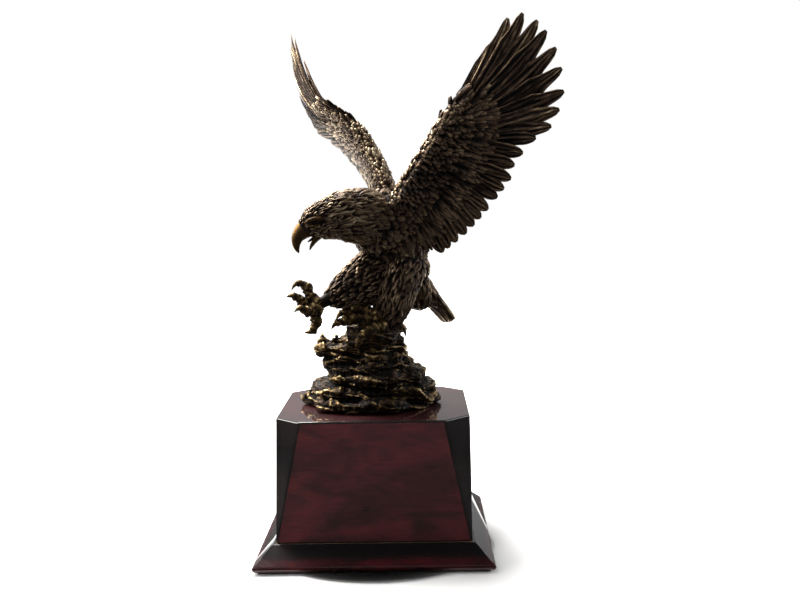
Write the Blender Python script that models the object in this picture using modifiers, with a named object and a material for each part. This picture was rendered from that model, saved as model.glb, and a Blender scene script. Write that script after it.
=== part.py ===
"""A bronze eagle landing on a crag, bolted to a lacquered rosewood trophy plinth.

The frame: origin at the middle of the felt's underside, +Z up, the plinth's
front face towards -Y.  Sizes below are millimetres and are turned to metres
when a mesh is made.  The eagle heads 45 degrees to the left of the front, with
its head turned to look along -X.

The plinth is a mitred box with its four upper corners sawn off, on a base with
a sloped moulding.  The bronze is nine castings, pinned to one another, and the
crag is pulled down on the plinth by two studs with nuts inside the box.
"""
import math

import bmesh
import bpy
import numpy as np
from mathutils import Matrix, Vector

MM = 0.001
FIT_GAP = 0.3            # clearance between pieces that touch

# the base: a board with a mitred sloped moulding round it and felt below
BASE_WIDTH = 178
FELT_THICK = 1.2
BASE_BOTTOM = FELT_THICK + FIT_GAP
BASE_TOP = 17.8
BASE_LIP = 5.0           # height of the moulding's outer edge above its foot
MOULDING_DROP = 0.2      # how far the slope's top is below the block's foot

# the plinth block: a mitred box, its corners sawn from nothing at the foot
BLOCK_WIDTH = 146
BLOCK_DEPTH = 142
BLOCK_TOP = 109
PANEL_THICK = 9
CORNER_SAW = 19.2        # saw cut along each top edge at a corner
GLUE_BLOCK = 20

# fasteners
STUD_RADIUS = 3.0
STUD_SPAN = 60
NUT_RADIUS = 5.8         # across the corners of the hexagon, halved
STUD_DEPTH = 11          # how far a stud goes up into the crag
SCREW_RADIUS = 2.0
SCREW_HEAD_RADIUS = 4.0
PIN_RADIUS = 2.0

# the eagle's own directions
HEADING = math.radians(45)
LEFT = np.array([math.cos(HEADING), -math.sin(HEADING), 0.0])
UP = np.array([0.0, 0.0, 1.0])
TORSO_WALL = 4.5

# a wing, in its own plane: s out along the span, c back along the chord
ARM_LENGTH = 100
PRIMARIES = 10
SECONDARIES = 13
FEATHER_EDGE = 1.6       # thickness at the feather tips


# ---------------------------------------------------------------- scene set-up
for old in list(bpy.data.objects):
    bpy.data.objects.remove(old, do_unlink=True)
PARTS = bpy.data.collections.new("eagle_statuette")
CUTTERS = bpy.data.collections.new("cutters")
bpy.context.scene.collection.children.link(PARTS)
bpy.context.scene.collection.children.link(CUTTERS)


def material(name, colour, roughness, metallic):
    """A Principled material; colour is linear RGB."""
    made = bpy.data.materials.new(name)
    made.use_nodes = True
    shader = made.node_tree.nodes["Principled BSDF"]
    shader.inputs["Base Color"].default_value = (*colour, 1.0)
    shader.inputs["Roughness"].default_value = roughness
    shader.inputs["Metallic"].default_value = metallic
    return made


BRONZE = material("antique_bronze", (0.105, 0.075, 0.045), 0.42, 1.0)
CRAG_BRONZE = material("crag_bronze", (0.14, 0.10, 0.045), 0.45, 1.0)
ROSEWOOD = material("lacquered_rosewood", (0.042, 0.010, 0.012), 0.12, 0.0)
RAW_BOARD = material("raw_board", (0.36, 0.26, 0.17), 0.75, 0.0)
PINE = material("glue_block_pine", (0.52, 0.38, 0.22), 0.7, 0.0)
STEEL = material("zinc_plated_steel", (0.52, 0.52, 0.54), 0.35, 1.0)
FELT = material("black_felt", (0.012, 0.012, 0.014), 0.95, 0.0)


# ------------------------------------------------------------- mesh utilities
def publish(name, mesh, look, collection=PARTS):
    """Puts a mesh in the scene as a named object with one material."""
    mesh.materials.clear()
    mesh.materials.append(look)
    made = bpy.data.objects.new(name, mesh)
    collection.objects.link(made)
    if collection is CUTTERS:
        made.hide_render = True
        made.display_type = "WIRE"
    return made


def mesh_of(name, bm):
    """Ends a bmesh built in millimetres as a mesh in metres, faces outward."""
    bmesh.ops.recalc_face_normals(bm, faces=bm.faces)
    bmesh.ops.scale(bm, vec=(MM, MM, MM), verts=bm.verts)
    mesh = bpy.data.meshes.new(name)
    bm.to_mesh(mesh)
    bm.free()
    return mesh


def box(low, high):
    """A bmesh box between two corners."""
    bm = bmesh.new()
    size = [h - l for l, h in zip(low, high)]
    middle = [(h + l) / 2 for l, h in zip(low, high)]
    place = Matrix.Translation(middle) @ Matrix.Diagonal((*size, 1))
    bmesh.ops.create_cube(bm, size=1, matrix=place)
    return bm


def saw(bm, point, outward):
    """Takes off what lies on the outward side of a plane, and closes the cut."""
    everything = bm.verts[:] + bm.edges[:] + bm.faces[:]
    result = bmesh.ops.bisect_plane(bm, geom=everything, plane_co=point,
                                    plane_no=outward, clear_outer=True)
    rim = [part for part in result["geom_cut"] if isinstance(part, bmesh.types.BMEdge)]
    if rim:
        bmesh.ops.contextual_create(bm, geom=rim)


def saw_corners(bm):
    """The four sawn corners of the plinth block."""
    height = BLOCK_TOP - BASE_TOP
    for sx in (-1, 1):
        for sy in (-1, 1):
            foot = (sx * BLOCK_WIDTH / 2, sy * BLOCK_DEPTH / 2, BASE_TOP)
            saw(bm, foot, (sx * height, sy * height, CORNER_SAW))


def turned(name, profile, look, place, steps=16, collection=PARTS):
    """A turned piece: (radius, z) from the top down its outer side, screwed round Z.

    A profile that starts off the axis is a ring, and closes on itself.
    """
    mesh = bpy.data.meshes.new(name)
    points = [(radius * MM, 0, z * MM) for radius, z in profile]
    edges = [(i, i + 1) for i in range(len(points) - 1)]
    if profile[0][0] > 0:
        edges.append((len(points) - 1, 0))
    mesh.from_pydata(points, edges, [])
    made = publish(name, mesh, look, collection)
    made.matrix_world = place
    screw = made.modifiers.new("turn", "SCREW")
    screw.steps = steps
    screw.render_steps = steps
    screw.use_merge_vertices = True
    screw.merge_threshold = 0.00001
    return made


def upright(x, y, z):
    """The place of a piece that stands on Z, in metres."""
    return Matrix.Translation((x * MM, y * MM, z * MM))


def frozen(obj):
    """Replaces an object's mesh by its evaluated one, its modifiers applied."""
    graph = bpy.context.evaluated_depsgraph_get()
    mesh = bpy.data.meshes.new_from_object(obj.evaluated_get(graph))
    obj.modifiers.clear()
    obj.data = mesh
    return obj


def boolean(obj, other, operation):
    """Applies one exact Boolean."""
    step = obj.modifiers.new(operation.lower(), "BOOLEAN")
    step.operation = operation
    step.solver = "EXACT"
    step.object = other
    return frozen(obj)


def join(obj, others):
    """Unites other objects into one, and removes them."""
    for other in others:
        boolean(obj, other, "UNION")
        bpy.data.objects.remove(other, do_unlink=True)
    return obj


def swollen(obj, amount=FIT_GAP):
    """A cutter with an object's own shape, grown along its normals."""
    mesh = obj.data.copy()
    bm = bmesh.new()
    bm.from_mesh(mesh)
    bm.normal_update()
    moves = [vertex.normal * amount * MM for vertex in bm.verts]
    for vertex, move in zip(bm.verts, moves):
        vertex.co += move
    bm.to_mesh(mesh)
    bm.free()
    return publish(obj.name + "_room", mesh, BRONZE, CUTTERS)


def make_room(obj, neighbours):
    """Cuts an object back so that it stands clear of its neighbours."""
    for neighbour in neighbours:
        boolean(obj, swollen(neighbour), "DIFFERENCE")
    keep_largest(obj)


def keep_largest(obj):
    """Drops slivers that a cut leaves loose, and keeps the main body."""
    bm = bmesh.new()
    bm.from_mesh(obj.data)
    left = set(bm.verts)
    bodies = []
    while left:
        stack = [left.pop()]
        body = set(stack)
        while stack:
            here = stack.pop()
            for edge in here.link_edges:
                near = edge.other_vert(here)
                if near in left:
                    left.remove(near)
                    body.add(near)
                    stack.append(near)
        bodies.append(body)
    bodies.sort(key=len)
    loose = [vertex for body in bodies[:-1] for vertex in body]
    bmesh.ops.delete(bm, geom=loose, context="VERTS")
    bm.to_mesh(obj.data)
    bm.free()


def loft(name, rings, look, collection=PARTS):
    """A closed skin through rings of points (stations, around, xyz), ends capped."""
    rings = np.asarray(rings, float)
    stations, around = rings.shape[:2]
    bm = bmesh.new()
    grid = [[bm.verts.new(point) for point in ring] for ring in rings]
    for k in range(stations - 1):
        for i in range(around):
            j = (i + 1) % around
            bm.faces.new((grid[k][i], grid[k][j], grid[k + 1][j], grid[k + 1][i]))
    bm.faces.new(grid[0])
    bm.faces.new(grid[-1])
    bmesh.ops.triangulate(bm, faces=bm.faces)
    return publish(name, mesh_of(name, bm), look, collection)


def body_rings(spine, across, around=14, grow=0.0):
    """Rings along a spine of (x, y, z, half width, half depth).

    The half width is measured along the direction across, the half depth at
    right angles to it and to the spine.
    """
    spine = np.asarray(spine, float)
    centres = spine[:, :3]
    along = np.gradient(centres, axis=0)
    along /= np.linalg.norm(along, axis=1)[:, None]
    side = across - along * (along @ across)[:, None]
    side /= np.linalg.norm(side, axis=1)[:, None]
    depth = np.cross(along, side)
    turn = np.arange(around) * 2 * math.pi / around
    half_width = (spine[:, 3] + grow)[:, None, None]
    half_depth = (spine[:, 4] + grow)[:, None, None]
    cos = np.cos(turn)[None, :, None]
    sin = np.sin(turn)[None, :, None]
    return centres[:, None] + cos * half_width * side[:, None] + sin * half_depth * depth[:, None]


def horn(name, points, around=8, look=BRONZE):
    """A toe, a claw or a beak: round rings that shrink along (x, y, z, radius)."""
    spine = [(x, y, z, radius, radius) for x, y, z, radius in points]
    return loft(name, body_rings(spine, np.array([0.3, 0.5, 0.81]), around), look)


def pin(name, start, end, radius, look, holes_in):
    """A round dowel between two points, and its holes in the pieces it joins."""
    start, end = Vector(start), Vector(end)
    run = end - start
    middle = (start + end) / 2
    turn = run.to_track_quat("Z", "Y").to_matrix().to_4x4()
    place = Matrix.Translation(middle * MM) @ turn
    half = run.length / 2
    made = turned(name, [(0, half), (radius, half), (radius, -half), (0, -half)], look, place, 10)
    hole_half = half + FIT_GAP
    hole_radius = radius + FIT_GAP
    hole_profile = [(0, hole_half), (hole_radius, hole_half), (hole_radius, -hole_half), (0, -hole_half)]
    hole = turned(name + "_hole", hole_profile, look, place, 10, CUTTERS)
    bpy.context.view_layer.update()
    for obj in holes_in:
        boolean(obj, hole, "DIFFERENCE")
    return made


# ------------------------------------------------------------------ the plinth
def felt_pad():
    """A square of felt under the base, a little inside its lip."""
    half = BASE_WIDTH / 2 - 4
    publish("felt_pad", mesh_of("felt_pad", box((-half, -half, 0), (half, half, FELT_THICK))), FELT)


def base_board():
    """The board that the mouldings are glued round and the block stands on."""
    half_x = BLOCK_WIDTH / 2 - FIT_GAP
    half_y = BLOCK_DEPTH / 2 - FIT_GAP
    bm = box((-half_x, -half_y, BASE_BOTTOM), (half_x, half_y, BASE_TOP - FIT_GAP))
    return publish("base_board", mesh_of("base_board", bm), RAW_BOARD)


def base_moulding(name, turn_degrees, run_half, depth_in):
    """One mitred length of sloped moulding, made along the front and turned round Z."""
    outer = BASE_WIDTH / 2
    bm = box((-outer, -outer, BASE_BOTTOM), (outer, -depth_in, BASE_TOP - MOULDING_DROP))
    slope_run = outer - depth_in
    slope_rise = BASE_TOP - MOULDING_DROP - BASE_LIP
    saw(bm, (0, -outer, BASE_LIP), (0, -slope_rise, slope_run))
    mitre_run = outer - run_half
    for side in (-1, 1):
        corner = (side * (outer - FIT_GAP / 2), -outer, 0)
        saw(bm, corner, (side * slope_run, mitre_run, 0))
    bmesh.ops.rotate(bm, verts=bm.verts, matrix=Matrix.Rotation(math.radians(turn_degrees), 3, "Z"))
    publish(name, mesh_of(name, bm), ROSEWOOD)


def wall_panel(name, along_x, side):
    """One mitred wall of the block, its ends sawn with the corners."""
    half_x = BLOCK_WIDTH / 2
    half_y = BLOCK_DEPTH / 2
    low_z = BASE_TOP
    high_z = BLOCK_TOP - PANEL_THICK - FIT_GAP
    if along_x:
        inner, outer = sorted((side * (half_y - PANEL_THICK), side * half_y))
        bm = box((-half_x, inner, low_z), (half_x, outer, high_z))
    else:
        inner, outer = sorted((side * (half_x - PANEL_THICK), side * half_x))
        bm = box((inner, -half_y, low_z), (outer, half_y, high_z))
    for end in (-1, 1):
        if along_x:
            outward = (end, -side, 0)
            corner = (end * (half_x - FIT_GAP / 2), side * half_y, 0)
        else:
            outward = (-side, end, 0)
            corner = (side * half_x, end * (half_y - FIT_GAP / 2), 0)
        saw(bm, corner, outward)
    saw_corners(bm)
    publish(name, mesh_of(name, bm), ROSEWOOD)


def top_board():
    """The board that closes the block, its corners sawn with the walls."""
    half_x = BLOCK_WIDTH / 2
    half_y = BLOCK_DEPTH / 2
    bm = box((-half_x, -half_y, BLOCK_TOP - PANEL_THICK), (half_x, half_y, BLOCK_TOP))
    saw_corners(bm)
    return publish("plinth_top_board", mesh_of("plinth_top_board", bm), ROSEWOOD)


def glue_block(name, sx, sy):
    """A three-sided block glued up one inner corner of the box."""
    x = sx * (BLOCK_WIDTH / 2 - PANEL_THICK - FIT_GAP)
    y = sy * (BLOCK_DEPTH / 2 - PANEL_THICK - FIT_GAP)
    low_z = BASE_TOP
    high_z = BLOCK_TOP - PANEL_THICK - FIT_GAP
    bm = box((min(x, x - sx * GLUE_BLOCK), min(y, y - sy * GLUE_BLOCK), low_z),
             (max(x, x - sx * GLUE_BLOCK), max(y, y - sy * GLUE_BLOCK), high_z))
    saw(bm, (x - sx * GLUE_BLOCK, y, 0), (-sx, -sy, 0))
    return publish(name, mesh_of(name, bm), PINE)


def base_screw(name, sx, sy, board, block):
    """A countersunk screw up through the base board into a glue block."""
    x = sx * (BLOCK_WIDTH / 2 - PANEL_THICK - FIT_GAP - GLUE_BLOCK * 0.3)
    y = sy * (BLOCK_DEPTH / 2 - PANEL_THICK - FIT_GAP - GLUE_BLOCK * 0.3)
    foot = BASE_BOTTOM + 0.5
    top = BASE_TOP + 18

    def profile(extra):
        shank = SCREW_RADIUS + extra
        head = SCREW_HEAD_RADIUS + extra
        return [(0, top + 3 + extra), (shank, top + extra), (shank, foot + 5 + extra),
                (head, foot + 2 + extra), (head, foot - extra), (0, foot - extra)]

    turned(name, profile(0), STEEL, upright(x, y, 0), 12)
    room = profile(FIT_GAP)
    room[-2] = (room[-2][0], BASE_BOTTOM - 1)
    room[-1] = (0, BASE_BOTTOM - 1)
    hole = turned(name + "_hole", room, STEEL, upright(x, y, 0), 12, CUTTERS)
    bpy.context.view_layer.update()
    boolean(board, hole, "DIFFERENCE")
    boolean(block, hole, "DIFFERENCE")


def mounting_stud(side_name, x, crag, board):
    """A stud screwed up into the crag, its washer and its nut inside the box."""
    under = BLOCK_TOP - PANEL_THICK - FIT_GAP
    washer_thick = 1.6
    nut_top = under - washer_thick - FIT_GAP
    nut_thick = 5
    low = nut_top - nut_thick - 3
    high = BLOCK_TOP + STUD_DEPTH
    pin(f"mounting_stud_{side_name}", (x, 0, low), (x, 0, high), STUD_RADIUS, STEEL, (crag, board))
    hole = STUD_RADIUS + FIT_GAP
    washer = [(hole, 0), (9, 0), (9, -washer_thick), (hole, -washer_thick)]
    turned(f"mounting_washer_{side_name}", washer, STEEL, upright(x, 0, under), 20)
    hexagon = [(0, 0), (NUT_RADIUS, 0), (NUT_RADIUS, -nut_thick), (0, -nut_thick)]
    nut = turned(f"mounting_nut_{side_name}", hexagon, STEEL, upright(x, 0, nut_top), 6)
    bore = [(0, 1), (hole, 1), (hole, -nut_thick - 1), (0, -nut_thick - 1)]
    cutter = turned(f"mounting_nut_{side_name}_bore", bore, STEEL, upright(x, 0, nut_top), 16, CUTTERS)
    bpy.context.view_layer.update()
    boolean(frozen(nut), cutter, "DIFFERENCE")


# -------------------------------------------------------------------- the crag
def slab(name, centre, half_x, half_y, low, high, tilt, seed):
    """A broken bed of rock: an uneven many-sided disc, thinner at its rim."""
    chance = np.random.default_rng(seed)
    around = 13
    turn = (np.arange(around) + chance.uniform(-0.25, 0.25, around)) * 2 * math.pi / around
    reach = chance.uniform(0.86, 1.06, around)
    levels = []
    for share, shrink in ((0.0, 0.84), (0.38, 1.0), (0.72, 0.97), (1.0, 0.80)):
        wobble = reach * shrink * chance.uniform(0.97, 1.03, around)
        x = centre[0] + half_x * wobble * np.cos(turn)
        y = centre[1] + half_y * wobble * np.sin(turn)
        lean = tilt[0] * (x - centre[0]) + tilt[1] * (y - centre[1])
        z = low + (high - low) * share + lean * (0.3 + 0.7 * share)
        levels.append(np.stack([x, y, z], -1))
    return loft(name, levels, CRAG_BRONZE)


CRAG_BEDS = [
    # centre, half x, half y, low, high, tilt in x and y
    ((-1, 0), 54, 50, BLOCK_TOP + FIT_GAP, 119, (0.0, 0.0)),
    ((3, -1), 47, 45, 115, 129, (0.02, 0.03)),
    ((-2, 2), 41, 38, 126, 137, (-0.03, 0.02)),
    ((30, 8), 14, 15, 124, 137, (0.05, 0.0)),
    ((-7, 0), 33, 31, 134, 146, (0.03, 0.0)),
    ((-21, -2), 27, 21, 143, 156, (-0.10, 0.0)),
    ((4, 1), 22, 24, 143, 160, (0.05, 0.02)),
    ((2, -5), 23, 22, 157, 171, (0.04, 0.05)),
]


def crag():
    """Beds of rock heaped and cast as one, hollow below, with a flat foot."""
    beds = [slab(f"bed_{i}", *bed, seed=11 + i) for i, bed in enumerate(CRAG_BEDS)]
    spike = horn("crag_spike", [(-36, -4, 150, 6), (-40, -4, 157, 3.4), (-42, -4, 162, 0.7)], 5, CRAG_BRONZE)
    whole = join(beds[0], beds[1:] + [spike])
    whole.name = "rock_mound"
    foot = BLOCK_TOP + FIT_GAP
    core_spine = [(-2, 0, foot - 1, 21, 30), (-2, 0, 122, 18, 26), (-4, 0, 136, 14, 17), (-6, 0, 148, 9, 10)]
    core = loft("crag_core", body_rings(core_spine, np.array([1.0, 0, 0]), 12), CRAG_BRONZE, CUTTERS)
    boolean(whole, core, "DIFFERENCE")
    return whole


# ------------------------------------------------------------------- the eagle
TORSO_SPINE = [
    (-6, -21, 257, 19.5, 21),
    (5, -9, 253, 24, 25),
    (14, 0, 246, 26, 27),
    (20, 5, 234, 24, 24.5),
    (24.5, 9, 221, 19, 20),
    (31, 14, 209, 14, 13.5),
    (36, 18, 200, 9, 8),
]
HEAD_SPINE = [
    (4, -11, 256, 17, 18),
    (-5, -22, 258, 19, 20),
    (-13, -31, 258.5, 18, 19),
    (-21, -38, 259, 15.5, 17),
    (-29, -44, 257.5, 13.5, 15.5),
    (-38, -47, 255, 11.5, 13),
    (-45, -48, 251, 7.5, 9),
    (-49, -48.5, 247.5, 4.0, 5.5),
]
UPPER_BEAK = [
    (-42, -48, 251, 6.5), (-48, -48.5, 248.5, 5.2), (-52.5, -49, 244, 3.9),
    (-54.2, -49, 238.5, 2.4), (-53.2, -49, 234.5, 1.1), (-52.4, -49, 232, 0.35),
]
LOWER_BEAK = [
    (-36, -47, 246, 4.2), (-41, -48, 240, 2.6), (-43.5, -48.5, 236, 1.5), (-44.5, -48.5, 233.5, 0.5),
]
RAISED_LEG_SPINE = [
    (15, 12, 222, 17, 17), (6, 1, 217, 17, 17), (-5, -10, 211, 15, 16), (-16, -19, 205, 12, 13),
    (-26, -26, 199, 8.5, 9.5), (-33, -29, 195.5, 5, 5.5), (-38, -31, 193, 4.2, 4.6),
    (-43, -33, 190.5, 4.6, 4.6),
]
STANDING_LEG_SPINE = [
    (30, -3, 226, 15, 14), (24, -8, 214, 16, 16), (19, -12, 202, 15.5, 15), (16, -14, 191, 14, 13),
    (13, -15, 182, 12.5, 11.5), (11, -16, 176, 9, 9), (9, -17, 171, 7, 7),
]
RAISED_TOES = {
    "inner": [(-42, -33, 191, 4), (-47, -33, 199, 3.4), (-48.5, -33, 204.5, 2.9), (-53, -33.5, 208.2, 2.3),
              (-57.5, -34, 207.5, 1.5), (-60.5, -34, 203.6, 0.35)],
    "middle": [(-43, -34, 189, 4), (-49, -36, 191.5, 3.1), (-54, -38, 196.5, 2.7), (-59, -40, 199.6, 2.0),
               (-63.6, -41, 199.0, 0.35)],
    "outer": [(-42, -33, 189, 4), (-45, -41, 187, 3.0), (-49, -47, 189, 2.6), (-53, -50, 191, 1.9),
              (-57, -51.5, 188.5, 0.35)],
    "hind": [(-42, -32, 190, 4), (-42.5, -33, 183, 3.6), (-43, -34, 177, 3.0), (-46, -34.5, 171.8, 2.2),
             (-51.6, -35, 170.6, 0.35)],
}
STANDING_TOES = {
    "inner": [(9, -17, 177, 5), (-5, -19, 184.5, 3.7), (-14, -21, 186.5, 3.3), (-21, -23, 184.5, 2.7),
              (-25.3, -24, 182.8, 1.8), (-28, -25, 179, 0.35)],
    "middle": [(9, -18, 174, 5), (-6, -24, 179.5, 3.7), (-17, -28, 179.5, 3.2), (-24, -31, 178, 2.6),
               (-28.3, -33, 176.5, 1.7), (-31, -34, 173, 0.35)],
    "outer": [(9, -18, 174, 5), (5, -29, 174, 3.7), (-2, -35, 172, 3.2), (-8, -38, 167, 2.6),
              (-11, -39, 161.5, 1.6), (-12, -38.5, 157.5, 0.35)],
    "hind": [(10, -16, 174, 5), (16, -7, 173.5, 3.8), (20, 2, 170.5, 2.9), (24, 8, 166, 1.7),
             (25, 9, 161, 0.35)],
}


# pins, from end to end, and a wing's as s and c in its plane
TORSO_HEART = np.array([14.0, 2.0, 246.0])
WING_PINS = {"upper": (2, 6), "lower": (-10, 14)}
BODY_PINS = {
    "neck": ((-17, -22, 270), (4, 0, 268), PIN_RADIUS),
    "tail": ((34, 16, 207), (43.8, 19.2, 193), 1.6),
    "raised_leg": ((16, 10, 226), (3, -4, 214), PIN_RADIUS),
    "standing_leg": ((22, 2, 226), (24, -11, 212), PIN_RADIUS),
}
FOOT_STUD = ((10, -16, 186), (9, -14, 160))


def torso():
    """The hollow body casting, open at the neck where its core was dug out."""
    made = loft("torso", body_rings(TORSO_SPINE, LEFT), BRONZE)
    core_spine = [(-13, -32, 260, 15, 15)] + TORSO_SPINE[:5]
    core = loft("torso_core", body_rings(core_spine, LEFT, 10, -TORSO_WALL), BRONZE, CUTTERS)
    return boolean(made, core, "DIFFERENCE")


def head_and_neck():
    """Head, neck and open beak, one casting."""
    made = loft("head_and_neck", body_rings(HEAD_SPINE, LEFT), BRONZE)
    return join(made, [horn("upper_beak", UPPER_BEAK, 10), horn("lower_beak", LOWER_BEAK, 8)])


def leg(name, spine, toes):
    """A feathered leg with four clawed toes, one casting."""
    made = loft(name, body_rings(spine, LEFT), BRONZE)
    return join(made, [horn(f"{name}_{toe}", points) for toe, points in toes.items()])


def tail():
    """The folded tail, a flat wedge thick at the rump, with the vent feathers hanging under it."""
    root = np.array([32.0, 14.5, 209.0])
    tip = np.array([61.0, 26.0, 170.5])
    sections = ((0, 9, 8), (0.25, 10, 6.5), (0.6, 9.5, 4.2), (0.88, 8.5, 2.8), (1.0, 6.5, 2))
    spine = []
    for share, half_width, half_depth in sections:
        spine.append((*(root + (tip - root) * share), half_width, half_depth))
    across = np.array([0.68, -0.68, -0.27])
    vent_spine = [(32, 13, 212, 9, 8), (34, 12, 201, 12, 7.5), (35.5, 11.5, 191, 12, 6), (36, 11.5, 183, 8, 3.5)]
    vent = loft("vent", body_rings(vent_spine, LEFT, 12), BRONZE)
    return join(loft("tail", body_rings(spine, across, 12), BRONZE), [vent])


class Wing:
    """A raised wing: its plane's directions and its camber."""

    def __init__(self, name, side, root, raised, swept, twisted, heading, camber, fan):
        """Angles are degrees; side is 1 for the eagle's left and -1 for its right.

        fan is the flight feathers' stretch and the first one's angle.
        """
        raised, swept, twisted, heading = (math.radians(v) for v in (raised, swept, twisted, heading))
        span = np.array([-math.sin(swept), math.cos(swept) * math.cos(raised),
                         math.cos(swept) * math.sin(raised)])
        chord = np.array([-math.sin(twisted), math.cos(twisted) * math.sin(raised),
                          -math.cos(twisted) * math.cos(raised)])
        chord -= span * (span @ chord)
        chord /= np.linalg.norm(chord)
        ahead = np.array([-math.cos(heading), -math.sin(heading), 0])
        sideways = side * np.array([math.sin(heading), -math.cos(heading), 0])
        axes = np.stack([ahead, sideways, UP])
        self.name = name
        self.root = np.array(root, float)
        self.span = span @ axes
        self.chord = chord @ axes
        self.back = side * np.cross(self.span, self.chord)
        self.camber = camber
        self.fan = fan

    def at(self, s, c, lift=0.0):
        """The point at s along the span and c along the chord, lifted to the dorsal side."""
        arm, hand, trail = self.camber
        bend = arm * np.sin(math.pi * np.clip(s / 100, 0, 1))
        bend = bend + hand * np.clip((s - 90) / 80, 0, 2) ** 2 + trail * (c / 70) ** 2 + lift
        flat = np.multiply.outer(s, self.span) + np.multiply.outer(c, self.chord)
        return self.root + flat + np.multiply.outer(bend, self.back)


LEFT_WING = Wing("left_wing", 1, (23, -20, 273), 50.5, 2.6, 30, 45, (5, 10, 0), (1.0, -12.5))
RIGHT_WING = Wing("right_wing", -1, (13.6, 18.4, 274.9), 53.2, -8.0, 32.1, 52.2, (11, 16.6, 10.8),
                  (1.08, -8.0))


def feather_rays(stretch, first_angle):
    """Each feather's ray in the wing's plane: its start on the leading edge, its tip, its slot.

    The slot is how deep the gap to the next feather is, as a share of the ray.
    The last two rays are the shoulder's root, inside the body's outline.
    """
    rays = []
    for i in range(PRIMARIES):
        t = i / (PRIMARIES - 1)
        angle = math.radians(first_angle + (69 - first_angle) * t ** 1.25)
        length = stretch * (72 - 37 * math.exp(-t / 0.12) - 14 * t ** 3)
        root = (ARM_LENGTH - 10 * t, 7 + 6 * t)
        tip = (root[0] + length * math.cos(angle), root[1] + length * math.sin(angle))
        rays.append(((ARM_LENGTH + 1 - 9 * t, -4 + 1.5 * t), tip, 0.36 if i < PRIMARIES - 2 else 0.2))
    for j in range(SECONDARIES):
        t = j / (SECONDARIES - 1)
        angle = math.radians(76 + 46 * t ** 0.6)
        length = stretch * (50 - 8 * t ** 4 - 5 * math.exp(-((t - 0.13) / 0.07) ** 2))
        root = (86 - 84 * t, 14 + t)
        tip = (root[0] + length * math.cos(angle), root[1] + length * math.sin(angle))
        rays.append(((88 - 88 * t, -2.5), tip, 0.10))
    rays.append(((-9, -1), (-29, 36), 0))
    rays.append(((-18, 6), (-29, 26), 0))
    return rays


def wing(shape):
    """A wing casting: a thick arm thinning to a scalloped edge of feather tips."""
    rays = feather_rays(*shape.fan)
    starts = []
    ends = []
    for k, (start, tip, slot) in enumerate(rays):
        starts.append(start)
        ends.append(tip)
        if k + 1 < len(rays):
            next_start, next_tip = rays[k + 1][:2]
            middle_start = [(a + b) / 2 for a, b in zip(start, next_start)]
            middle_tip = [(a + b) / 2 for a, b in zip(tip, next_tip)]
            starts.append(middle_start)
            ends.append([s + (e - s) * (1 - slot) for s, e in zip(middle_start, middle_tip)])
    starts = np.array(starts)
    ends = np.array(ends)
    shares = np.array([0.0, 0.06, 0.18, 0.36, 0.62, 1.0])
    halves = np.array([0.8, 3.4, 4.2, 2.6, 1.6, FEATHER_EDGE / 2])
    flat = starts[:, None] + (ends - starts)[:, None] * shares[None, :, None]
    root_fade = np.clip(flat[..., 0] / 60, 0, 1)
    half = halves[None, :] * (2.0 - root_fade)
    dorsal = shape.at(flat[..., 0], flat[..., 1], half)
    ventral = shape.at(flat[..., 0], flat[..., 1], -half)
    rings = np.concatenate([dorsal, ventral[:, ::-1]], axis=1)
    return loft(shape.name, rings, BRONZE)


# ---------------------------------------------------------------- the assembly
def build_plinth(crag_piece):
    """Felt, base, box, glue blocks, screws and the two mounting studs."""
    felt_pad()
    board = base_board()
    half_y = BLOCK_DEPTH / 2 + FIT_GAP
    half_x = BLOCK_WIDTH / 2 + FIT_GAP
    base_moulding("base_moulding_front", 0, half_x, half_y)
    base_moulding("base_moulding_right", 90, half_y, half_x)
    base_moulding("base_moulding_back", 180, half_x, half_y)
    base_moulding("base_moulding_left", 270, half_y, half_x)
    wall_panel("plinth_front_panel", True, -1)
    wall_panel("plinth_back_panel", True, 1)
    wall_panel("plinth_left_panel", False, -1)
    wall_panel("plinth_right_panel", False, 1)
    top = top_board()
    corners = (("front_left", -1, -1), ("front_right", 1, -1), ("back_left", -1, 1), ("back_right", 1, 1))
    for name, sx, sy in corners:
        block = glue_block(f"glue_block_{name}", sx, sy)
        base_screw(f"base_screw_{name}", sx, sy, board, block)
    mounting_stud("left", -STUD_SPAN / 2, crag_piece, top)
    mounting_stud("right", STUD_SPAN / 2, crag_piece, top)


def build_eagle(crag_piece):
    """The castings, each cut to stand clear of the ones it is fixed to, and their pins."""
    body = torso()
    outer_body = loft("torso_outer", body_rings(TORSO_SPINE, LEFT), BRONZE, CUTTERS)
    standing = leg("standing_leg", STANDING_LEG_SPINE, STANDING_TOES)
    make_room(standing, [crag_piece, outer_body])
    raised = leg("raised_leg", RAISED_LEG_SPINE, RAISED_TOES)
    make_room(raised, [outer_body, standing])
    head = head_and_neck()
    make_room(head, [outer_body])
    rump = tail()
    make_room(rump, [outer_body, standing])
    left = wing(LEFT_WING)
    make_room(left, [outer_body, standing, head])
    right = wing(RIGHT_WING)
    make_room(right, [outer_body, head, raised])
    for shape, piece in ((LEFT_WING, left), (RIGHT_WING, right)):
        for place, (s, c) in WING_PINS.items():
            start = shape.at(np.array(s), np.array(c))
            inward = TORSO_HEART - start
            inward /= np.linalg.norm(inward)
            pin(f"{shape.name}_pin_{place}", start - inward * 1.5, start + inward * 13, PIN_RADIUS, STEEL,
                (body, piece))
    pieces = {"neck": head, "tail": rump, "raised_leg": raised, "standing_leg": standing}
    for place, (start, end, radius) in BODY_PINS.items():
        pin(f"{place}_pin", start, end, radius, STEEL, (body, pieces[place]))
    pin("foot_stud", *FOOT_STUD, PIN_RADIUS, STEEL, (crag_piece, standing))


CRAG_PIECE = crag()
build_plinth(CRAG_PIECE)
build_eagle(CRAG_PIECE)
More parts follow.
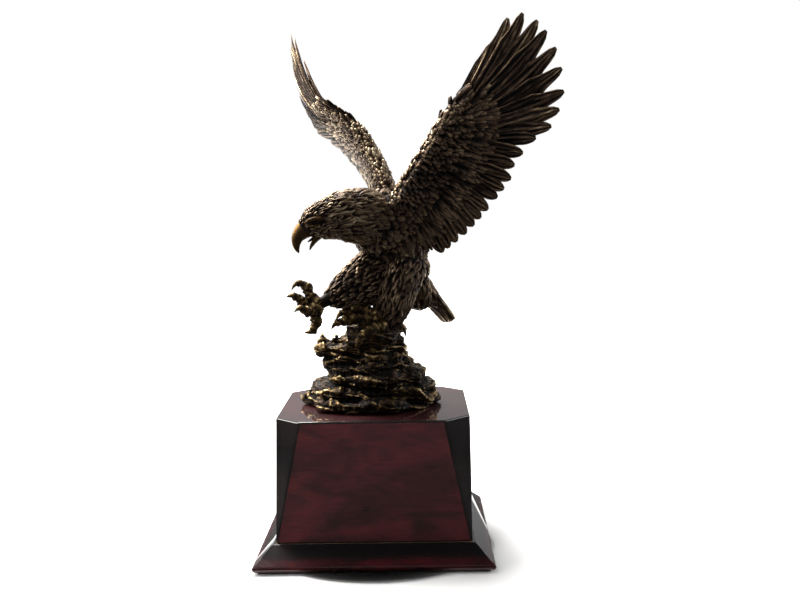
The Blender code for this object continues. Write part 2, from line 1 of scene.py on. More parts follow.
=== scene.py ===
"""The looks of a bronze eagle statuette on a lacquered rosewood plinth.

The file follows the trophy as it is put together: the room it stands in, the
wooden plinth from the felt up, the hardware inside it, the cast crag, and the
eagle from its feet to its beak.  Sizes are millimetres until a mesh is made.
"""
import math

import bmesh
import bpy
import numpy as np
from mathutils import Matrix, Vector


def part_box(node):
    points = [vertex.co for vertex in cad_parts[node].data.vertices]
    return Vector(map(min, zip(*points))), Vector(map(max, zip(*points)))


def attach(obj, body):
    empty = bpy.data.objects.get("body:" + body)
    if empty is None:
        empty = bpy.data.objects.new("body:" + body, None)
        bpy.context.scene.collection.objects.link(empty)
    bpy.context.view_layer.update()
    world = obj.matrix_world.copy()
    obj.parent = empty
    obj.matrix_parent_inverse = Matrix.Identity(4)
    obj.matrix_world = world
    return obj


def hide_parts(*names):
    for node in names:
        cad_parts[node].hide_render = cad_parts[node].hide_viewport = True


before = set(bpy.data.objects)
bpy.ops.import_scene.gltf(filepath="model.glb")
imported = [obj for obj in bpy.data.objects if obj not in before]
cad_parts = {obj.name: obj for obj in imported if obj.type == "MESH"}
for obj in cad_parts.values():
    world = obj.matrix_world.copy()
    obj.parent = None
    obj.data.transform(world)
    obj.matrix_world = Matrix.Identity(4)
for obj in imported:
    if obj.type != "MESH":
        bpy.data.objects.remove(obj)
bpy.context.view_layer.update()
MM = 0.001


# ------------------------------------------------------------------ the camera
# A short telephoto on a stand a little above the plinth, tipped down, and not
# quite level, as a hand-set tripod head is.
CAMERA_PLACE = (0.0341, -0.8378, 0.2732)
CAMERA_YAW = -0.01546
CAMERA_TIP = -0.09768
CAMERA_ROLL = -0.01765
CAMERA_LENS = 47.9

ahead = np.array([math.sin(CAMERA_YAW) * math.cos(CAMERA_TIP), math.cos(CAMERA_YAW) * math.cos(CAMERA_TIP),
                  math.sin(CAMERA_TIP)])
level = np.array([math.cos(CAMERA_YAW), -math.sin(CAMERA_YAW), 0.0])
over = np.cross(level, ahead)
right = level * math.cos(CAMERA_ROLL) + over * math.sin(CAMERA_ROLL)
upward = over * math.cos(CAMERA_ROLL) - level * math.sin(CAMERA_ROLL)
lens = bpy.data.cameras.new("camera")
lens.lens = CAMERA_LENS
lens.sensor_width = 36
lens.clip_start = 0.01
camera = bpy.data.objects.new("camera", lens)
turn = Matrix(np.stack([right, upward, -ahead], axis=1).tolist())
camera.matrix_world = Matrix.Translation(CAMERA_PLACE) @ turn.to_4x4()
bpy.context.scene.collection.objects.link(camera)
bpy.context.scene.camera = camera
bpy.context.scene.view_settings.view_transform = "Standard"


# ------------------------------------------------------- the floor and the light
# A white sweep under soft boxes.  The side the camera stands on is flagged off
# with black cloth, so the lacquer's front reflects little of it.
def linear(code):
    """Linear RGBA of an sRGB hex colour: the low part is a straight line, the rest a 2.4 power."""
    shares = [int(code[i:i + 2], 16) / 255 for i in (1, 3, 5)]
    return (*[v / 12.92 if v <= 0.04045 else ((v + 0.055) / 1.055) ** 2.4 for v in shares], 1.0)


def node(material, kind, inputs=None, stops=None, **settings):
    """Adds one node: settings are its properties, inputs its sockets' values or the sockets feeding them."""
    tree = material.node_tree
    made = tree.nodes.new(kind)
    for key, value in settings.items():
        setattr(made, key, value)
    for key, value in (inputs or {}).items():
        socket = made.inputs[key]
        if isinstance(value, bpy.types.NodeSocket):
            tree.links.new(value, socket)
        else:
            socket.default_value = value
    if stops:
        while len(made.color_ramp.elements) < len(stops):
            made.color_ramp.elements.new(0.5)
        for element, (place, colour) in zip(made.color_ramp.elements, stops):
            element.position = place
            element.color = colour if isinstance(colour, tuple) else linear(colour)
    return made


def new_material(name, **values):
    """A material with a Principled shader, its uniform values set on its own sockets."""
    made = bpy.data.materials.new(name)
    made.use_nodes = True
    shader = made.node_tree.nodes["Principled BSDF"]
    for key, value in values.items():
        shader.inputs[key.replace("_", " ")].default_value = value
    return made, shader


def feed(material, shader, **sockets):
    """Links sockets to the Principled shader's inputs by name."""
    for key, socket in sockets.items():
        material.node_tree.links.new(socket, shader.inputs[key.replace("_", " ")])


paper, paper_shader = new_material("white_sweep_paper", Roughness=0.9)
paper_place = node(paper, "ShaderNodeTexCoord").outputs["Object"]
paper_tooth = node(paper, "ShaderNodeTexNoise", {"Vector": paper_place, "Scale": 40.0})
paper_tone = node(paper, "ShaderNodeValToRGB", {"Fac": paper_tooth.outputs["Fac"]},
                  stops=[(0.3, "#f6f6f6"), (0.7, "#fafafa")])
from_plinth = node(paper, "ShaderNodeVectorMath", {0: paper_place}, operation="LENGTH")
# painted light: the paper glows, more the further it lies from the plinth, in place of a second light washing
# it out beyond the trophy's own shadow
painted_glow = node(paper, "ShaderNodeMapRange", {"Value": from_plinth.outputs["Value"], "From Min": 0.12,
                                          "From Max": 0.26, "To Min": 0.0, "To Max": 0.75})
feed(paper, paper_shader, Base_Color=paper_tone.outputs["Color"], Emission_Strength=painted_glow.outputs["Result"])
paper_shader.inputs["Emission Color"].default_value = (1, 1, 1, 1)
bpy.ops.mesh.primitive_circle_add(vertices=96, radius=6.0, fill_type="NGON", location=(0, 0, -0.0002))
sweep = bpy.context.object
sweep.name = "floor"
sweep.data.materials.append(paper)

# the cloth shows only in reflections: a curved flag behind the camera, an apron
# on the floor before and beside the plinth, and a canopy over it
black_cloth, cloth_shader = new_material("black_flag_cloth", Roughness=0.95)
cloth_shader.inputs["Base Color"].default_value = linear("#0a0a0a")


def hang_cloth(name, points, faces):
    """A cloth that only glossy surfaces see, unless its maker lets it shade the paper too."""
    mesh = bpy.data.meshes.new(name)
    mesh.from_pydata(points, [], faces)
    cloth = bpy.data.objects.new(name, mesh)
    mesh.materials.append(black_cloth)
    cloth.visible_camera = False
    cloth.visible_diffuse = False
    cloth.visible_shadow = False
    bpy.context.scene.collection.objects.link(cloth)
    return cloth


FLAG_RADIUS = 1.9
FLAG_POSTS = 41
flag_turn = np.radians(np.linspace(160, 380, FLAG_POSTS))
flag_height = np.interp(np.degrees(flag_turn), [160, 205, 235, 305, 335, 380],
                        [0.45, 0.7, 1.6, 1.6, 0.7, 0.45])
flag_rim = np.stack([FLAG_RADIUS * np.cos(flag_turn), FLAG_RADIUS * np.sin(flag_turn)], axis=-1)
flag_points = np.concatenate([np.c_[flag_rim, np.zeros(FLAG_POSTS)], np.c_[flag_rim * 0.95, flag_height]])
flag_faces = [(i, i + 1, i + FLAG_POSTS + 1, i + FLAG_POSTS) for i in range(FLAG_POSTS - 1)]
hang_cloth("black_flag", flag_points.tolist(), flag_faces)
APRON_REACH = 2.1
APRON_GAP = 0.096
apron = [(-APRON_REACH, -APRON_REACH), (APRON_REACH, -APRON_REACH), (APRON_REACH, -APRON_GAP),
         (-APRON_REACH, -APRON_GAP), (-APRON_GAP, -APRON_GAP), (-APRON_GAP, 0.5), (-APRON_REACH, 0.5),
         (APRON_GAP, -APRON_GAP), (APRON_REACH, 0.4), (APRON_GAP, 0.4)]
hang_cloth("black_floor_apron", [(x, y, 0.001) for x, y in apron], [(0, 1, 2, 3), (3, 4, 5, 6), (7, 2, 8, 9)])
# a low round gobo keeps the room's light off the paper just in front of the plinth
GOBO_REACH = (0.092, 0.086)
GOBO_FORWARD = 0.020
GOBO_HEIGHT = 0.0035
gobo_turn = np.radians(np.arange(0, 360, 5))
gobo_rim = [(GOBO_REACH[0] * math.cos(a), GOBO_REACH[1] * math.sin(a) - GOBO_FORWARD, GOBO_HEIGHT)
            for a in gobo_turn]
gobo = hang_cloth("round_gobo", gobo_rim, [tuple(range(len(gobo_rim)))])
gobo.visible_diffuse = True
gobo.visible_shadow = True
canopy = [(x, y, 1.7) for x, y in ((-0.5, -0.9), (0.5, -0.9), (0.5, 0.35), (-0.5, 0.35))]
hang_cloth("black_canopy", canopy, [(0, 3, 2, 1)])

world = bpy.data.worlds.new("white_room")
bpy.context.scene.world = world
world.use_nodes = True
world.node_tree.nodes.clear()
# the room lights the trophy dimly, but the camera sees it pure white
ROOM_LIGHT = 0.38
seen = node(world, "ShaderNodeLightPath")
brightness = node(world, "ShaderNodeMapRange", {"Value": seen.outputs["Is Camera Ray"],
                                                "To Min": ROOM_LIGHT, "To Max": 1.0})
backdrop = node(world, "ShaderNodeBackground", {"Color": (1, 1, 1, 1),
                                                "Strength": brightness.outputs["Result"]})
node(world, "ShaderNodeOutputWorld", {"Surface": backdrop.outputs["Background"]})

SOFT_BOXES = {
    # name: place, aimed at, width and height, watts, colour
    "top_box": ((-0.45, 0.65, 1.30), (0, 0, 0.25), (0.8, 0.6), 55, (1.0, 0.98, 0.95)),
    "left_box": ((-1.20, 0.20, 0.95), (0, 0, 0.28), (0.5, 0.8), 20, (1.0, 0.97, 0.93)),
    "right_box": ((1.30, 0.45, 0.70), (0, 0, 0.22), (0.5, 0.9), 7, (0.96, 0.98, 1.0)),
    "front_card": ((-0.55, -1.30, 1.25), (0, 0, 0.30), (0.35, 0.35), 4, (1.0, 0.98, 0.96)),
}
for box_name, (place, aim, size, watts, colour) in SOFT_BOXES.items():
    lamp = bpy.data.lights.new(box_name, "AREA")
    lamp.shape = "RECTANGLE"
    lamp.size, lamp.size_y = size
    lamp.energy = watts
    lamp.color = colour
    holder = bpy.data.objects.new(box_name, lamp)
    holder.visible_camera = False
    towards = Vector(aim) - Vector(place)
    holder.matrix_world = Matrix.Translation(place) @ towards.to_track_quat("-Z", "Y").to_matrix().to_4x4()
    bpy.context.scene.collection.objects.link(holder)


# ------------------------------------------------------------------- the felt
# A square of black needled felt glued under the base; its fibres stand a little
# and catch the light as a soft bloom.
FIBRE_MM = 0.6


def speckled(name, speck_mm, detail, tones, strength, depth_mm, **values):
    """A plain finish: noise of one speck size drives both its tone and its bump."""
    made, shader = new_material(name, **values)
    place = node(made, "ShaderNodeTexCoord").outputs["Object"]
    specks = node(made, "ShaderNodeTexNoise", {"Vector": place, "Scale": 1 / (speck_mm * MM), "Detail": detail})
    tone = node(made, "ShaderNodeValToRGB", {"Fac": specks.outputs["Fac"]}, stops=tones)
    bump = node(made, "ShaderNodeBump", {"Height": specks.outputs["Fac"], "Strength": strength,
                                         "Distance": depth_mm * MM})
    feed(made, shader, Base_Color=tone.outputs["Color"], Normal=bump.outputs["Normal"])
    return made


felt = speckled("black_needled_felt", FIBRE_MM, 3.0, [(0.3, "#0b0b0d"), (0.7, "#1c1c1f")], 0.5, 0.3,
                Roughness=0.95, Sheen_Weight=0.35, Sheen_Roughness=0.5)


def refinish(names, material):
    """Gives carried-over nodes of the frame their finish."""
    for name in names:
        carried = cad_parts[name]
        for carried_slot in carried.material_slots:
            carried_slot.material = material


refinish(["felt_pad"], felt)


# ------------------------------------------ board, glue blocks and hardware
# What the box hides: a fibreboard base board, pine blocks glued up its corners,
# and zinc-plated screws, studs, washers, nuts and dowel pins.
CHIP_MM = 1.5
board = speckled("raw_fibreboard", CHIP_MM, 4.0, [(0.3, "#8f7353"), (0.7, "#b09469")], 0.3, 0.2, Roughness=0.8)
refinish(["base_board"], board)

pine, pine_shader = new_material("sawn_pine", Roughness=0.7)
pine_place = node(pine, "ShaderNodeTexCoord").outputs["Object"]
RING_MM = 2.5
# a wave texture at scale 1 repeats about every 0.32 of a unit
WAVE_PITCH = 0.32
rings = node(pine, "ShaderNodeTexWave", {"Vector": pine_place, "Scale": WAVE_PITCH / (RING_MM * MM),
                                         "Distortion": 3.0, "Detail": 3.0}, bands_direction="X")
pine_tone = node(pine, "ShaderNodeValToRGB", {"Fac": rings.outputs["Fac"]},
                 stops=[(0.0, "#caa06a"), (0.6, "#dcb987"), (1.0, "#b5834c")])
pine_bump = node(pine, "ShaderNodeBump", {"Height": rings.outputs["Fac"], "Strength": 0.2,
                                          "Distance": 0.0002})
feed(pine, pine_shader, Base_Color=pine_tone.outputs["Color"], Normal=pine_bump.outputs["Normal"])
CORNERS = ("front_left", "front_right", "back_left", "back_right")
refinish([f"glue_block_{corner}" for corner in CORNERS], pine)

zinc, zinc_shader = new_material("zinc_plated_steel", Metallic=1.0)
zinc_place = node(zinc, "ShaderNodeTexCoord").outputs["Object"]
SPANGLE_MM = 0.8
spangle = node(zinc, "ShaderNodeTexNoise", {"Vector": zinc_place, "Scale": 1 / (SPANGLE_MM * MM),
                                            "Detail": 2.0})
zinc_tone = node(zinc, "ShaderNodeValToRGB", {"Fac": spangle.outputs["Fac"]},
                 stops=[(0.3, "#a9abb0"), (0.7, "#c9cbce")])
zinc_rough = node(zinc, "ShaderNodeMapRange", {"Value": spangle.outputs["Fac"], "To Min": 0.28,
                                               "To Max": 0.45})
feed(zinc, zinc_shader, Base_Color=zinc_tone.outputs["Color"], Roughness=zinc_rough.outputs["Result"])
refinish([f"base_screw_{corner}" for corner in CORNERS], zinc)
SIDES = ("left", "right")
refinish([f"mounting_{kind}_{side}" for kind in ("stud", "washer", "nut") for side in SIDES], zinc)
refinish([f"{side}_wing_pin_{place}" for side in SIDES for place in ("upper", "lower")], zinc)
refinish(["neck_pin", "tail_pin", "raised_leg_pin", "standing_leg_pin", "foot_stud"], zinc)


# ------------------------------------------------------------- the base moulding
# Four mitred lengths of sloped moulding, glued round the board and lacquered
# with it as one: a rounded foot, a long slope and a small rounded shoulder.
def quads_of(rows, columns):
    """Faces between neighbouring rows and columns of points, the last column joined to the first."""
    row, column = np.meshgrid(np.arange(rows - 1), np.arange(columns), indexing="ij")
    beside = (column + 1) % columns
    faces = np.stack([row * columns + column, row * columns + beside,
                      (row + 1) * columns + beside, (row + 1) * columns + column], axis=-1)
    return faces.reshape(-1, 4)


def end_quads(first, count):
    """Quads that close a ring of an even count of points, laid side to side across it."""
    i = np.arange(count // 2 - 1)
    return first + np.stack([i, i + 1, count - 2 - i, count - 1 - i], axis=-1)


def tube_quads(rows, columns):
    """All the faces of a closed tube of rings: its wall and its two ends."""
    last = (rows - 1) * columns
    return np.concatenate([quads_of(rows, columns), end_quads(0, columns)[:, ::-1], end_quads(last, columns)])


def make_piece(name, shell, finish, record_slot, *replaced):
    """A mesh object from a shell: points in millimetres, quads, and each point's vane values or None.

    The faces are turned over if the volume they enclose comes out negative.
    Vane values are millimetres across a feather, millimetres along it, and how
    much rubbing the spot gets, from 0 in a hollow to 1 on an edge.
    """
    points, faces, vane = shell
    points = np.asarray(points, float).reshape(-1, 3)
    corner = points[faces]
    fan = np.einsum("ij,ij->i", corner[:, 0], np.cross(corner[:, 1], corner[:, 2]))
    fan = fan + np.einsum("ij,ij->i", corner[:, 0], np.cross(corner[:, 2], corner[:, 3]))
    if fan.sum() < 0:
        faces = faces[:, ::-1]
    mesh = bpy.data.meshes.new(name)
    mesh.vertices.add(len(points))
    mesh.vertices.foreach_set("co", (points * MM).astype(np.float32).ravel())
    mesh.loops.add(faces.size)
    mesh.loops.foreach_set("vertex_index", faces.astype(np.int32).ravel())
    mesh.polygons.add(len(faces))
    mesh.polygons.foreach_set("loop_start", np.arange(0, faces.size, 4, dtype=np.int32))
    mesh.polygons.foreach_set("loop_total", np.full(len(faces), 4, dtype=np.int32))
    mesh.update(calc_edges=True)
    mesh.validate()
    if vane is not None:
        stored = mesh.attributes.new("vane", "FLOAT_VECTOR", "POINT")
        stored.data.foreach_set("vector", np.asarray(vane, np.float32).ravel())
    mesh.shade_smooth()
    mesh.materials.append(finish)
    made = bpy.data.objects.new(name, mesh)
    bpy.context.scene.collection.objects.link(made)
    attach(made, "root")
    if replaced:
        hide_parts(*replaced)
    return made


# Rosewood veneer under a thick clear polyester lacquer, flatted and buffed: the
# eye sees cloudy wine-red figure through a mirror surface.
CLOUD_MM = 34
PORE_MM = 1.6
PORE_SHARE = 0.28
PAINTED_DARK_STRENGTH = 0.55


def lacquered_rosewood(name, tones, painted_dark_heights=None):
    """Lacquered veneer with a painted dark reflection that deepens upward between two heights in millimetres.
    """
    wood, shader = new_material(name, Roughness=0.55, Specular_IOR_Level=0.08, Coat_Weight=1.0,
                                Coat_Roughness=0.025, Coat_IOR=1.52)
    place = node(wood, "ShaderNodeTexCoord").outputs["Object"]
    cloud_frame = node(wood, "ShaderNodeMapping", {"Vector": place, "Scale": (0.8, 0.8, 1.9)})
    clouds = node(wood, "ShaderNodeTexNoise", {"Vector": cloud_frame.outputs["Vector"],
                                               "Scale": 1 / (CLOUD_MM * MM), "Detail": 5.0,
                                               "Roughness": 0.6, "Distortion": 0.7})
    pore_frame = node(wood, "ShaderNodeMapping", {"Vector": place, "Scale": (0.12, 0.12, 1.0)})
    pores = node(wood, "ShaderNodeTexNoise", {"Vector": pore_frame.outputs["Vector"],
                                              "Scale": 1 / (PORE_MM * MM), "Detail": 3.0, "Distortion": 0.4})
    figure = node(wood, "ShaderNodeMath", {0: pores.outputs["Fac"], 1: PORE_SHARE, 2: clouds.outputs["Fac"]},
                  operation="MULTIPLY_ADD").outputs["Value"]
    if painted_dark_heights:
        # painted dark reflection: the figure is darkened upward between the two heights
        parts = node(wood, "ShaderNodeSeparateXYZ", {"Vector": place})
        low, high = painted_dark_heights
        painted_dark_reflection = node(wood, "ShaderNodeMapRange", {"Value": parts.outputs["Z"], "From Min": low * MM,
                                                  "From Max": high * MM, "To Min": 0.0,
                                                  "To Max": -PAINTED_DARK_STRENGTH})
        figure = node(wood, "ShaderNodeMath", {0: figure, 1: painted_dark_reflection.outputs["Result"]},
                      operation="ADD").outputs["Value"]
    tone = node(wood, "ShaderNodeValToRGB", {"Fac": figure}, stops=tones)
    feed(wood, shader, Base_Color=tone.outputs["Color"])
    return wood


BASE_TONES = [(0.15, "#050203"), (0.46, "#1b0407"), (0.66, "#30070b"), (0.86, "#470c12")]
# the base's slope carries a painted dark reflection towards its top
rosewood_base = lacquered_rosewood("rosewood_painted_dark_above", BASE_TONES, (8.5, 12.5))


def mitred_ring(profile, half_x, half_y):
    """A moulding run round a rectangle: each (out, z) of the closed profile is a square path that far out."""
    out, height = np.asarray(profile, float).T
    signs = np.array([(-1, -1), (1, -1), (1, 1), (-1, 1)])
    x = signs[:, 0] * (half_x + out[:, None])
    y = signs[:, 1] * (half_y + out[:, None])
    z = np.repeat(height[:, None], 4, axis=1)
    return np.stack([x, y, z], axis=-1).transpose(1, 0, 2)


def arc(centre, radius, start, end, steps=5):
    """Points on a circle's arc, between two angles in degrees."""
    angle = np.radians(np.linspace(start, end, steps))
    return [(centre[0] + radius * math.cos(a), centre[1] + radius * math.sin(a)) for a in angle]


base_low, base_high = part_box("base_moulding_front")
side_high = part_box("base_moulding_right")[1]
BLOCK_HALF_X = 73.0
BLOCK_HALF_Y = 71.0
base_half = side_high[0] / MM
foot_z = base_low[2] / MM
shoulder_z = base_high[2] / MM + 0.25
moulding_gap = 0.02
run_x = base_half - BLOCK_HALF_X
LIP_RADIUS = 2.6
SHOULDER_RADIUS = 1.0


def moulding_profile(run):
    """Outline of the moulding: foot, rounded lip, slope, rounded shoulder, back."""
    lip_centre = (run - LIP_RADIUS, foot_z + LIP_RADIUS)
    slope = math.degrees(math.atan2(shoulder_z - foot_z - LIP_RADIUS * 2, run - 1.5))
    shoulder_centre = (moulding_gap + 1.4, shoulder_z - SHOULDER_RADIUS)
    outline = [(moulding_gap, foot_z), (run - LIP_RADIUS - 1.2, foot_z)]
    outline += arc(lip_centre, LIP_RADIUS, -90, 90 - slope, 9)
    outline += arc(shoulder_centre, SHOULDER_RADIUS, 90 - slope, 100, 5)
    outline += [(moulding_gap, shoulder_z - 0.1)]
    return outline


# the block is 4 mm shallower than it is wide, so each row of the outline is
# carried out along X and along Y in its own proportion
x_profile = np.array(moulding_profile(run_x))
y_profile = np.array(moulding_profile(base_half - BLOCK_HALF_Y))
ring_x = mitred_ring(x_profile, BLOCK_HALF_X, BLOCK_HALF_Y)
ring_y = mitred_ring(y_profile, BLOCK_HALF_X, BLOCK_HALF_Y)
ring = np.stack([ring_x[..., 0], ring_y[..., 1], ring_x[..., 2]], axis=-1)
ring_points = ring.transpose(1, 0, 2)
ring_faces = quads_of(len(x_profile) + 1, 4)
ring_faces = ring_faces % (len(x_profile) * 4)
base_piece = make_piece("base_moulding_ring", (ring_points, ring_faces, None), rosewood_base,
                        "lacquered_rosewood", "base_moulding_front", "base_moulding_right",
                        "base_moulding_back", "base_moulding_left")
MITRE_RADIUS = 0.0009
mitre_soft = base_piece.modifiers.new("mitre_edges", "BEVEL")
mitre_soft.width = MITRE_RADIUS
mitre_soft.segments = 3
mitre_soft.limit_method = "ANGLE"
mitre_soft.angle_limit = math.radians(50)
base_piece.data.set_sharp_from_angle(angle=math.radians(60))


# ------------------------------------------------------------------- the block
# A mitred box whose upper corners are sawn off from nothing at the foot, then
# veneered and lacquered over the joints, so its edges are softly rounded.
top_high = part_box("plinth_top_board")[1]
panel_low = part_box("plinth_front_panel")[0]
CORNER_SAW = 19.2
EDGE_RADIUS = 0.0014


def sawn_block(name, half_x, half_y, low_z, high_z, saw):
    """A block with a rectangle below and, above, that rectangle with its corners cut off."""
    bm = bmesh.new()
    feet = [bm.verts.new((sx * half_x * MM, sy * half_y * MM, low_z * MM))
            for sx, sy in ((-1, -1), (1, -1), (1, 1), (-1, 1))]
    rim = []
    for sx, sy, x_first in ((-1, -1, False), (1, -1, True), (1, 1, False), (-1, 1, True)):
        along_x = (sx * (half_x - saw) * MM, sy * half_y * MM, high_z * MM)
        along_y = (sx * half_x * MM, sy * (half_y - saw) * MM, high_z * MM)
        pair = (along_x, along_y) if x_first else (along_y, along_x)
        rim.append([bm.verts.new(point) for point in pair])
    bm.faces.new(feet[::-1])
    bm.faces.new([vertex for pair in rim for vertex in pair])
    for i in range(4):
        bm.faces.new((feet[i], rim[i][1], rim[i][0]))
        beside = (i + 1) % 4
        bm.faces.new((feet[i], feet[beside], rim[beside][0], rim[i][1]))
    bmesh.ops.recalc_face_normals(bm, faces=bm.faces)
    mesh = bpy.data.meshes.new(name)
    bm.to_mesh(mesh)
    bm.free()
    mesh.shade_smooth()
    made = bpy.data.objects.new(name, mesh)
    bpy.context.scene.collection.objects.link(made)
    return made


block = sawn_block("plinth_block", BLOCK_HALF_X, BLOCK_HALF_Y, panel_low[2] / MM - 0.5, top_high[2] / MM,
                   CORNER_SAW)
PANEL_TONES = [(0.40, "#220f10"), (0.60, "#2f1214"), (0.76, "#3e1518"), (0.92, "#4b181d")]
rosewood = lacquered_rosewood("lacquered_rosewood_veneer", PANEL_TONES)
ebonised, ebonised_shader = new_material("black_toned_lacquer", Roughness=0.5, Specular_IOR_Level=0.08,
                                         Coat_Weight=1.0, Coat_Roughness=0.03, Coat_IOR=1.52)
ebonised_place = node(ebonised, "ShaderNodeTexCoord").outputs["Object"]
veil = node(ebonised, "ShaderNodeTexNoise", {"Vector": ebonised_place, "Scale": 1 / (CLOUD_MM * MM),
                                             "Detail": 4.0})
veil_tone = node(ebonised, "ShaderNodeValToRGB", {"Fac": veil.outputs["Fac"]},
                 stops=[(0.35, "#0b0a0a"), (0.7, "#1a1212")])
feed(ebonised, ebonised_shader, Base_Color=veil_tone.outputs["Color"])
block.data.materials.append(rosewood)
block.data.materials.append(ebonised)
for face in block.data.polygons:
    face.material_index = 1 if face.loop_total == 3 else 0
block_edges = block.modifiers.new("lacquered_edges", "BEVEL")
block_edges.width = EDGE_RADIUS
block_edges.segments = 4
block_edges.limit_method = "ANGLE"
block_edges.angle_limit = math.radians(15)
block_edges.harden_normals = True
block_edges.material = 1
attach(block, "root")
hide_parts("plinth_top_board", "plinth_front_panel", "plinth_back_panel", "plinth_left_panel",
            "plinth_right_panel")


# -------------------------------------------------------------------- the crag
# The rock under the bird, cast hollow in bronze with a flat foot: beds of stone
# with deep dark joints between them, their edges rubbed back to yellow metal.
HASH_X, HASH_Y, HASH_Z = 73856093, 19349663, 83492791
HASH_SEED = 2654435761
HASH_MIX = 1274126177


def value_noise(points, cell, seed):
    """Smooth noise from 0 to 1: hashed values on a lattice of the given cell, eased between corners."""
    spot = np.asarray(points, float) / np.asarray(cell, float)
    corner = np.floor(spot).astype(np.int64)
    part = spot - corner
    part = part * part * (3 - 2 * part)
    total = np.zeros(spot.shape[:-1])
    for step in np.ndindex(2, 2, 2):
        at = corner + step
        mixed = (at[..., 0] * HASH_X) ^ (at[..., 1] * HASH_Y) ^ (at[..., 2] * HASH_Z) ^ (seed * HASH_SEED)
        mixed = ((mixed ^ (mixed >> 13)) * HASH_MIX) & 0x7FFFFFFF
        value = ((mixed ^ (mixed >> 15)) & 0xFFFF) / 65535
        share = np.prod(np.where(np.array(step) == 1, part, 1 - part), axis=-1)
        total += value * share
    return total


def ridges(points, cell, seed):
    """Sharp-crested noise: one less the distance of the smooth noise from its middle."""
    return 1 - np.abs(2 * value_noise(points, cell, seed) - 1)


def surface_normals(grid):
    """Unit normals of a grid of rings of points, from the cross product of its two differences."""
    beside = np.roll(grid, -1, axis=1) - np.roll(grid, 1, axis=1)
    along = np.gradient(grid, axis=0)
    normal = np.cross(beside, along)
    return normal / np.maximum(np.linalg.norm(normal, axis=-1, keepdims=True), 1e-9)


def smoothed(grid, reach):
    """A grid averaged over a square of the given reach: rows stop at the ends, columns wrap round."""
    total = np.zeros_like(grid)
    for step in range(-reach, reach + 1):
        total += np.roll(grid, step, axis=1)
    grid = total / (2 * reach + 1)
    rows = np.arange(len(grid))
    total = np.zeros_like(grid)
    for step in range(-reach, reach + 1):
        total += grid[np.clip(rows + step, 0, len(grid) - 1)]
    return total / (2 * reach + 1)


crag_low, crag_high = (np.array(corner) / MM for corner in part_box("rock_mound"))
BED_SHAPES = [
    # low and high edge above the foot, reach to the left, right, front and back
    (-1.0, 9.5, 55, 51, 51, 47),
    (7.0, 18.5, 50, 50, 45, 44),
    (16.5, 28.5, 41, 44, 40, 38),
    (24.0, 35.5, 38, 28, 33, 32),
    (32.5, 41.0, 43, 25, 29, 30),
    (38.5, 48.5, 49, 21, 27, 26),
    (42.0, 53.0, 30, 24, 25, 25),
    (50.0, 62.5, 22, 23, 23, 21),
]
CRAG_ROUND = 400
CRAG_ROWS = 226
CRAG_SLICES = 1300
CROWN_ROUND = 5
BLUR_SLICES = 15
JOINT_DEPTH = 0.27


def crag_outline(turn, height):
    """How far the rock reaches at each angle and height.

    Each bed is a slab with a rounded rim, an uneven half ellipse to each side,
    and the outline is the furthest of them.  Its height rolls with the angle.
    """
    across, away = np.cos(turn), np.sin(turn)
    circle = np.stack([across, away, np.zeros_like(turn)], axis=-1)
    reach = np.full(height.shape, 4.0)
    for index, (low, high, left_reach, right_reach, front_reach, back_reach) in enumerate(BED_SHAPES):
        half_x = np.where(across < 0, left_reach, right_reach)
        half_y = np.where(away < 0, front_reach, back_reach)
        rim = 1 / np.sqrt((across / half_x) ** 2 + (away / half_y) ** 2)
        rim = rim * (0.88 + 0.20 * value_noise(circle * 3.1, 1.0, 30 + index))
        roll = 3.4 * (value_noise(circle * 1.7, 1.0, 60 + index) - 0.5) * min(1.0, index)
        middle = (low + high) / 2 + roll
        spread = (high - low) / 2
        place = np.clip(np.abs(height - middle) / spread, 0, 1)
        bulge = (1 - place ** 3.2) ** (1 / 2.2)
        slab_reach = rim * (1 - JOINT_DEPTH + JOINT_DEPTH * bulge)
        reach = np.maximum(reach, np.where(place < 1, slab_reach, 0))
    return reach


def crag_grid():
    """The rock's skin: outlines at close heights, resampled to even steps along each upright line."""
    foot = crag_low[2] + 0.05
    top = crag_high[2] - 1.2
    turn = np.linspace(0, 2 * math.pi, CRAG_ROUND, endpoint=False)
    height = np.linspace(0, top - foot, CRAG_SLICES)
    turns, heights = np.meshgrid(turn, height, indexing="ij")
    reach = crag_outline(turns, heights)
    crown = np.clip((heights - (top - foot - CROWN_ROUND)) / CROWN_ROUND, 0, 1)
    reach = reach * np.sqrt(1 - crown ** 2)
    kernel = np.hanning(BLUR_SLICES)
    kernel = kernel / kernel.sum()
    padded = np.pad(reach, ((0, 0), (BLUR_SLICES // 2, BLUR_SLICES // 2)), mode="edge")
    reach = sum(weight * padded[:, k:k + reach.shape[1]] for k, weight in enumerate(kernel))
    reach[:, -1] = 0.4
    length = np.hypot(np.diff(reach, axis=1), np.diff(heights, axis=1))
    travelled = np.concatenate([np.zeros((CRAG_ROUND, 1)), np.cumsum(length, axis=1)], axis=1)
    travelled = travelled / travelled[:, -1:]
    lane = 2 * np.arange(CRAG_ROUND)[:, None]
    wanted = (lane + np.linspace(0, 1, CRAG_ROWS)[None]).ravel()
    reach = np.interp(wanted, (travelled + lane).ravel(), reach.ravel()).reshape(CRAG_ROUND, CRAG_ROWS)
    height = np.interp(wanted, (travelled + lane).ravel(), heights.ravel()).reshape(CRAG_ROUND, CRAG_ROWS)
    x = reach * np.cos(turn)[:, None]
    y = reach * np.sin(turn)[:, None]
    return np.stack([x, y, height + foot], axis=-1).transpose(1, 0, 2)


# a turn about the front-to-back axis, which lays the cuts across the beds
SLANT = np.array([[0.8, 0.0, 0.6], [0.0, 1.0, 0.0], [-0.6, 0.0, 0.8]])


LEDGE_HEIGHT = 151
LEDGE_HORNS = [
    # place, rise, width
    ((-41, -3), 7.5, 2.6), ((-31, -9), 4.5, 3.0), ((-44, 6), 3.0, 3.0),
]


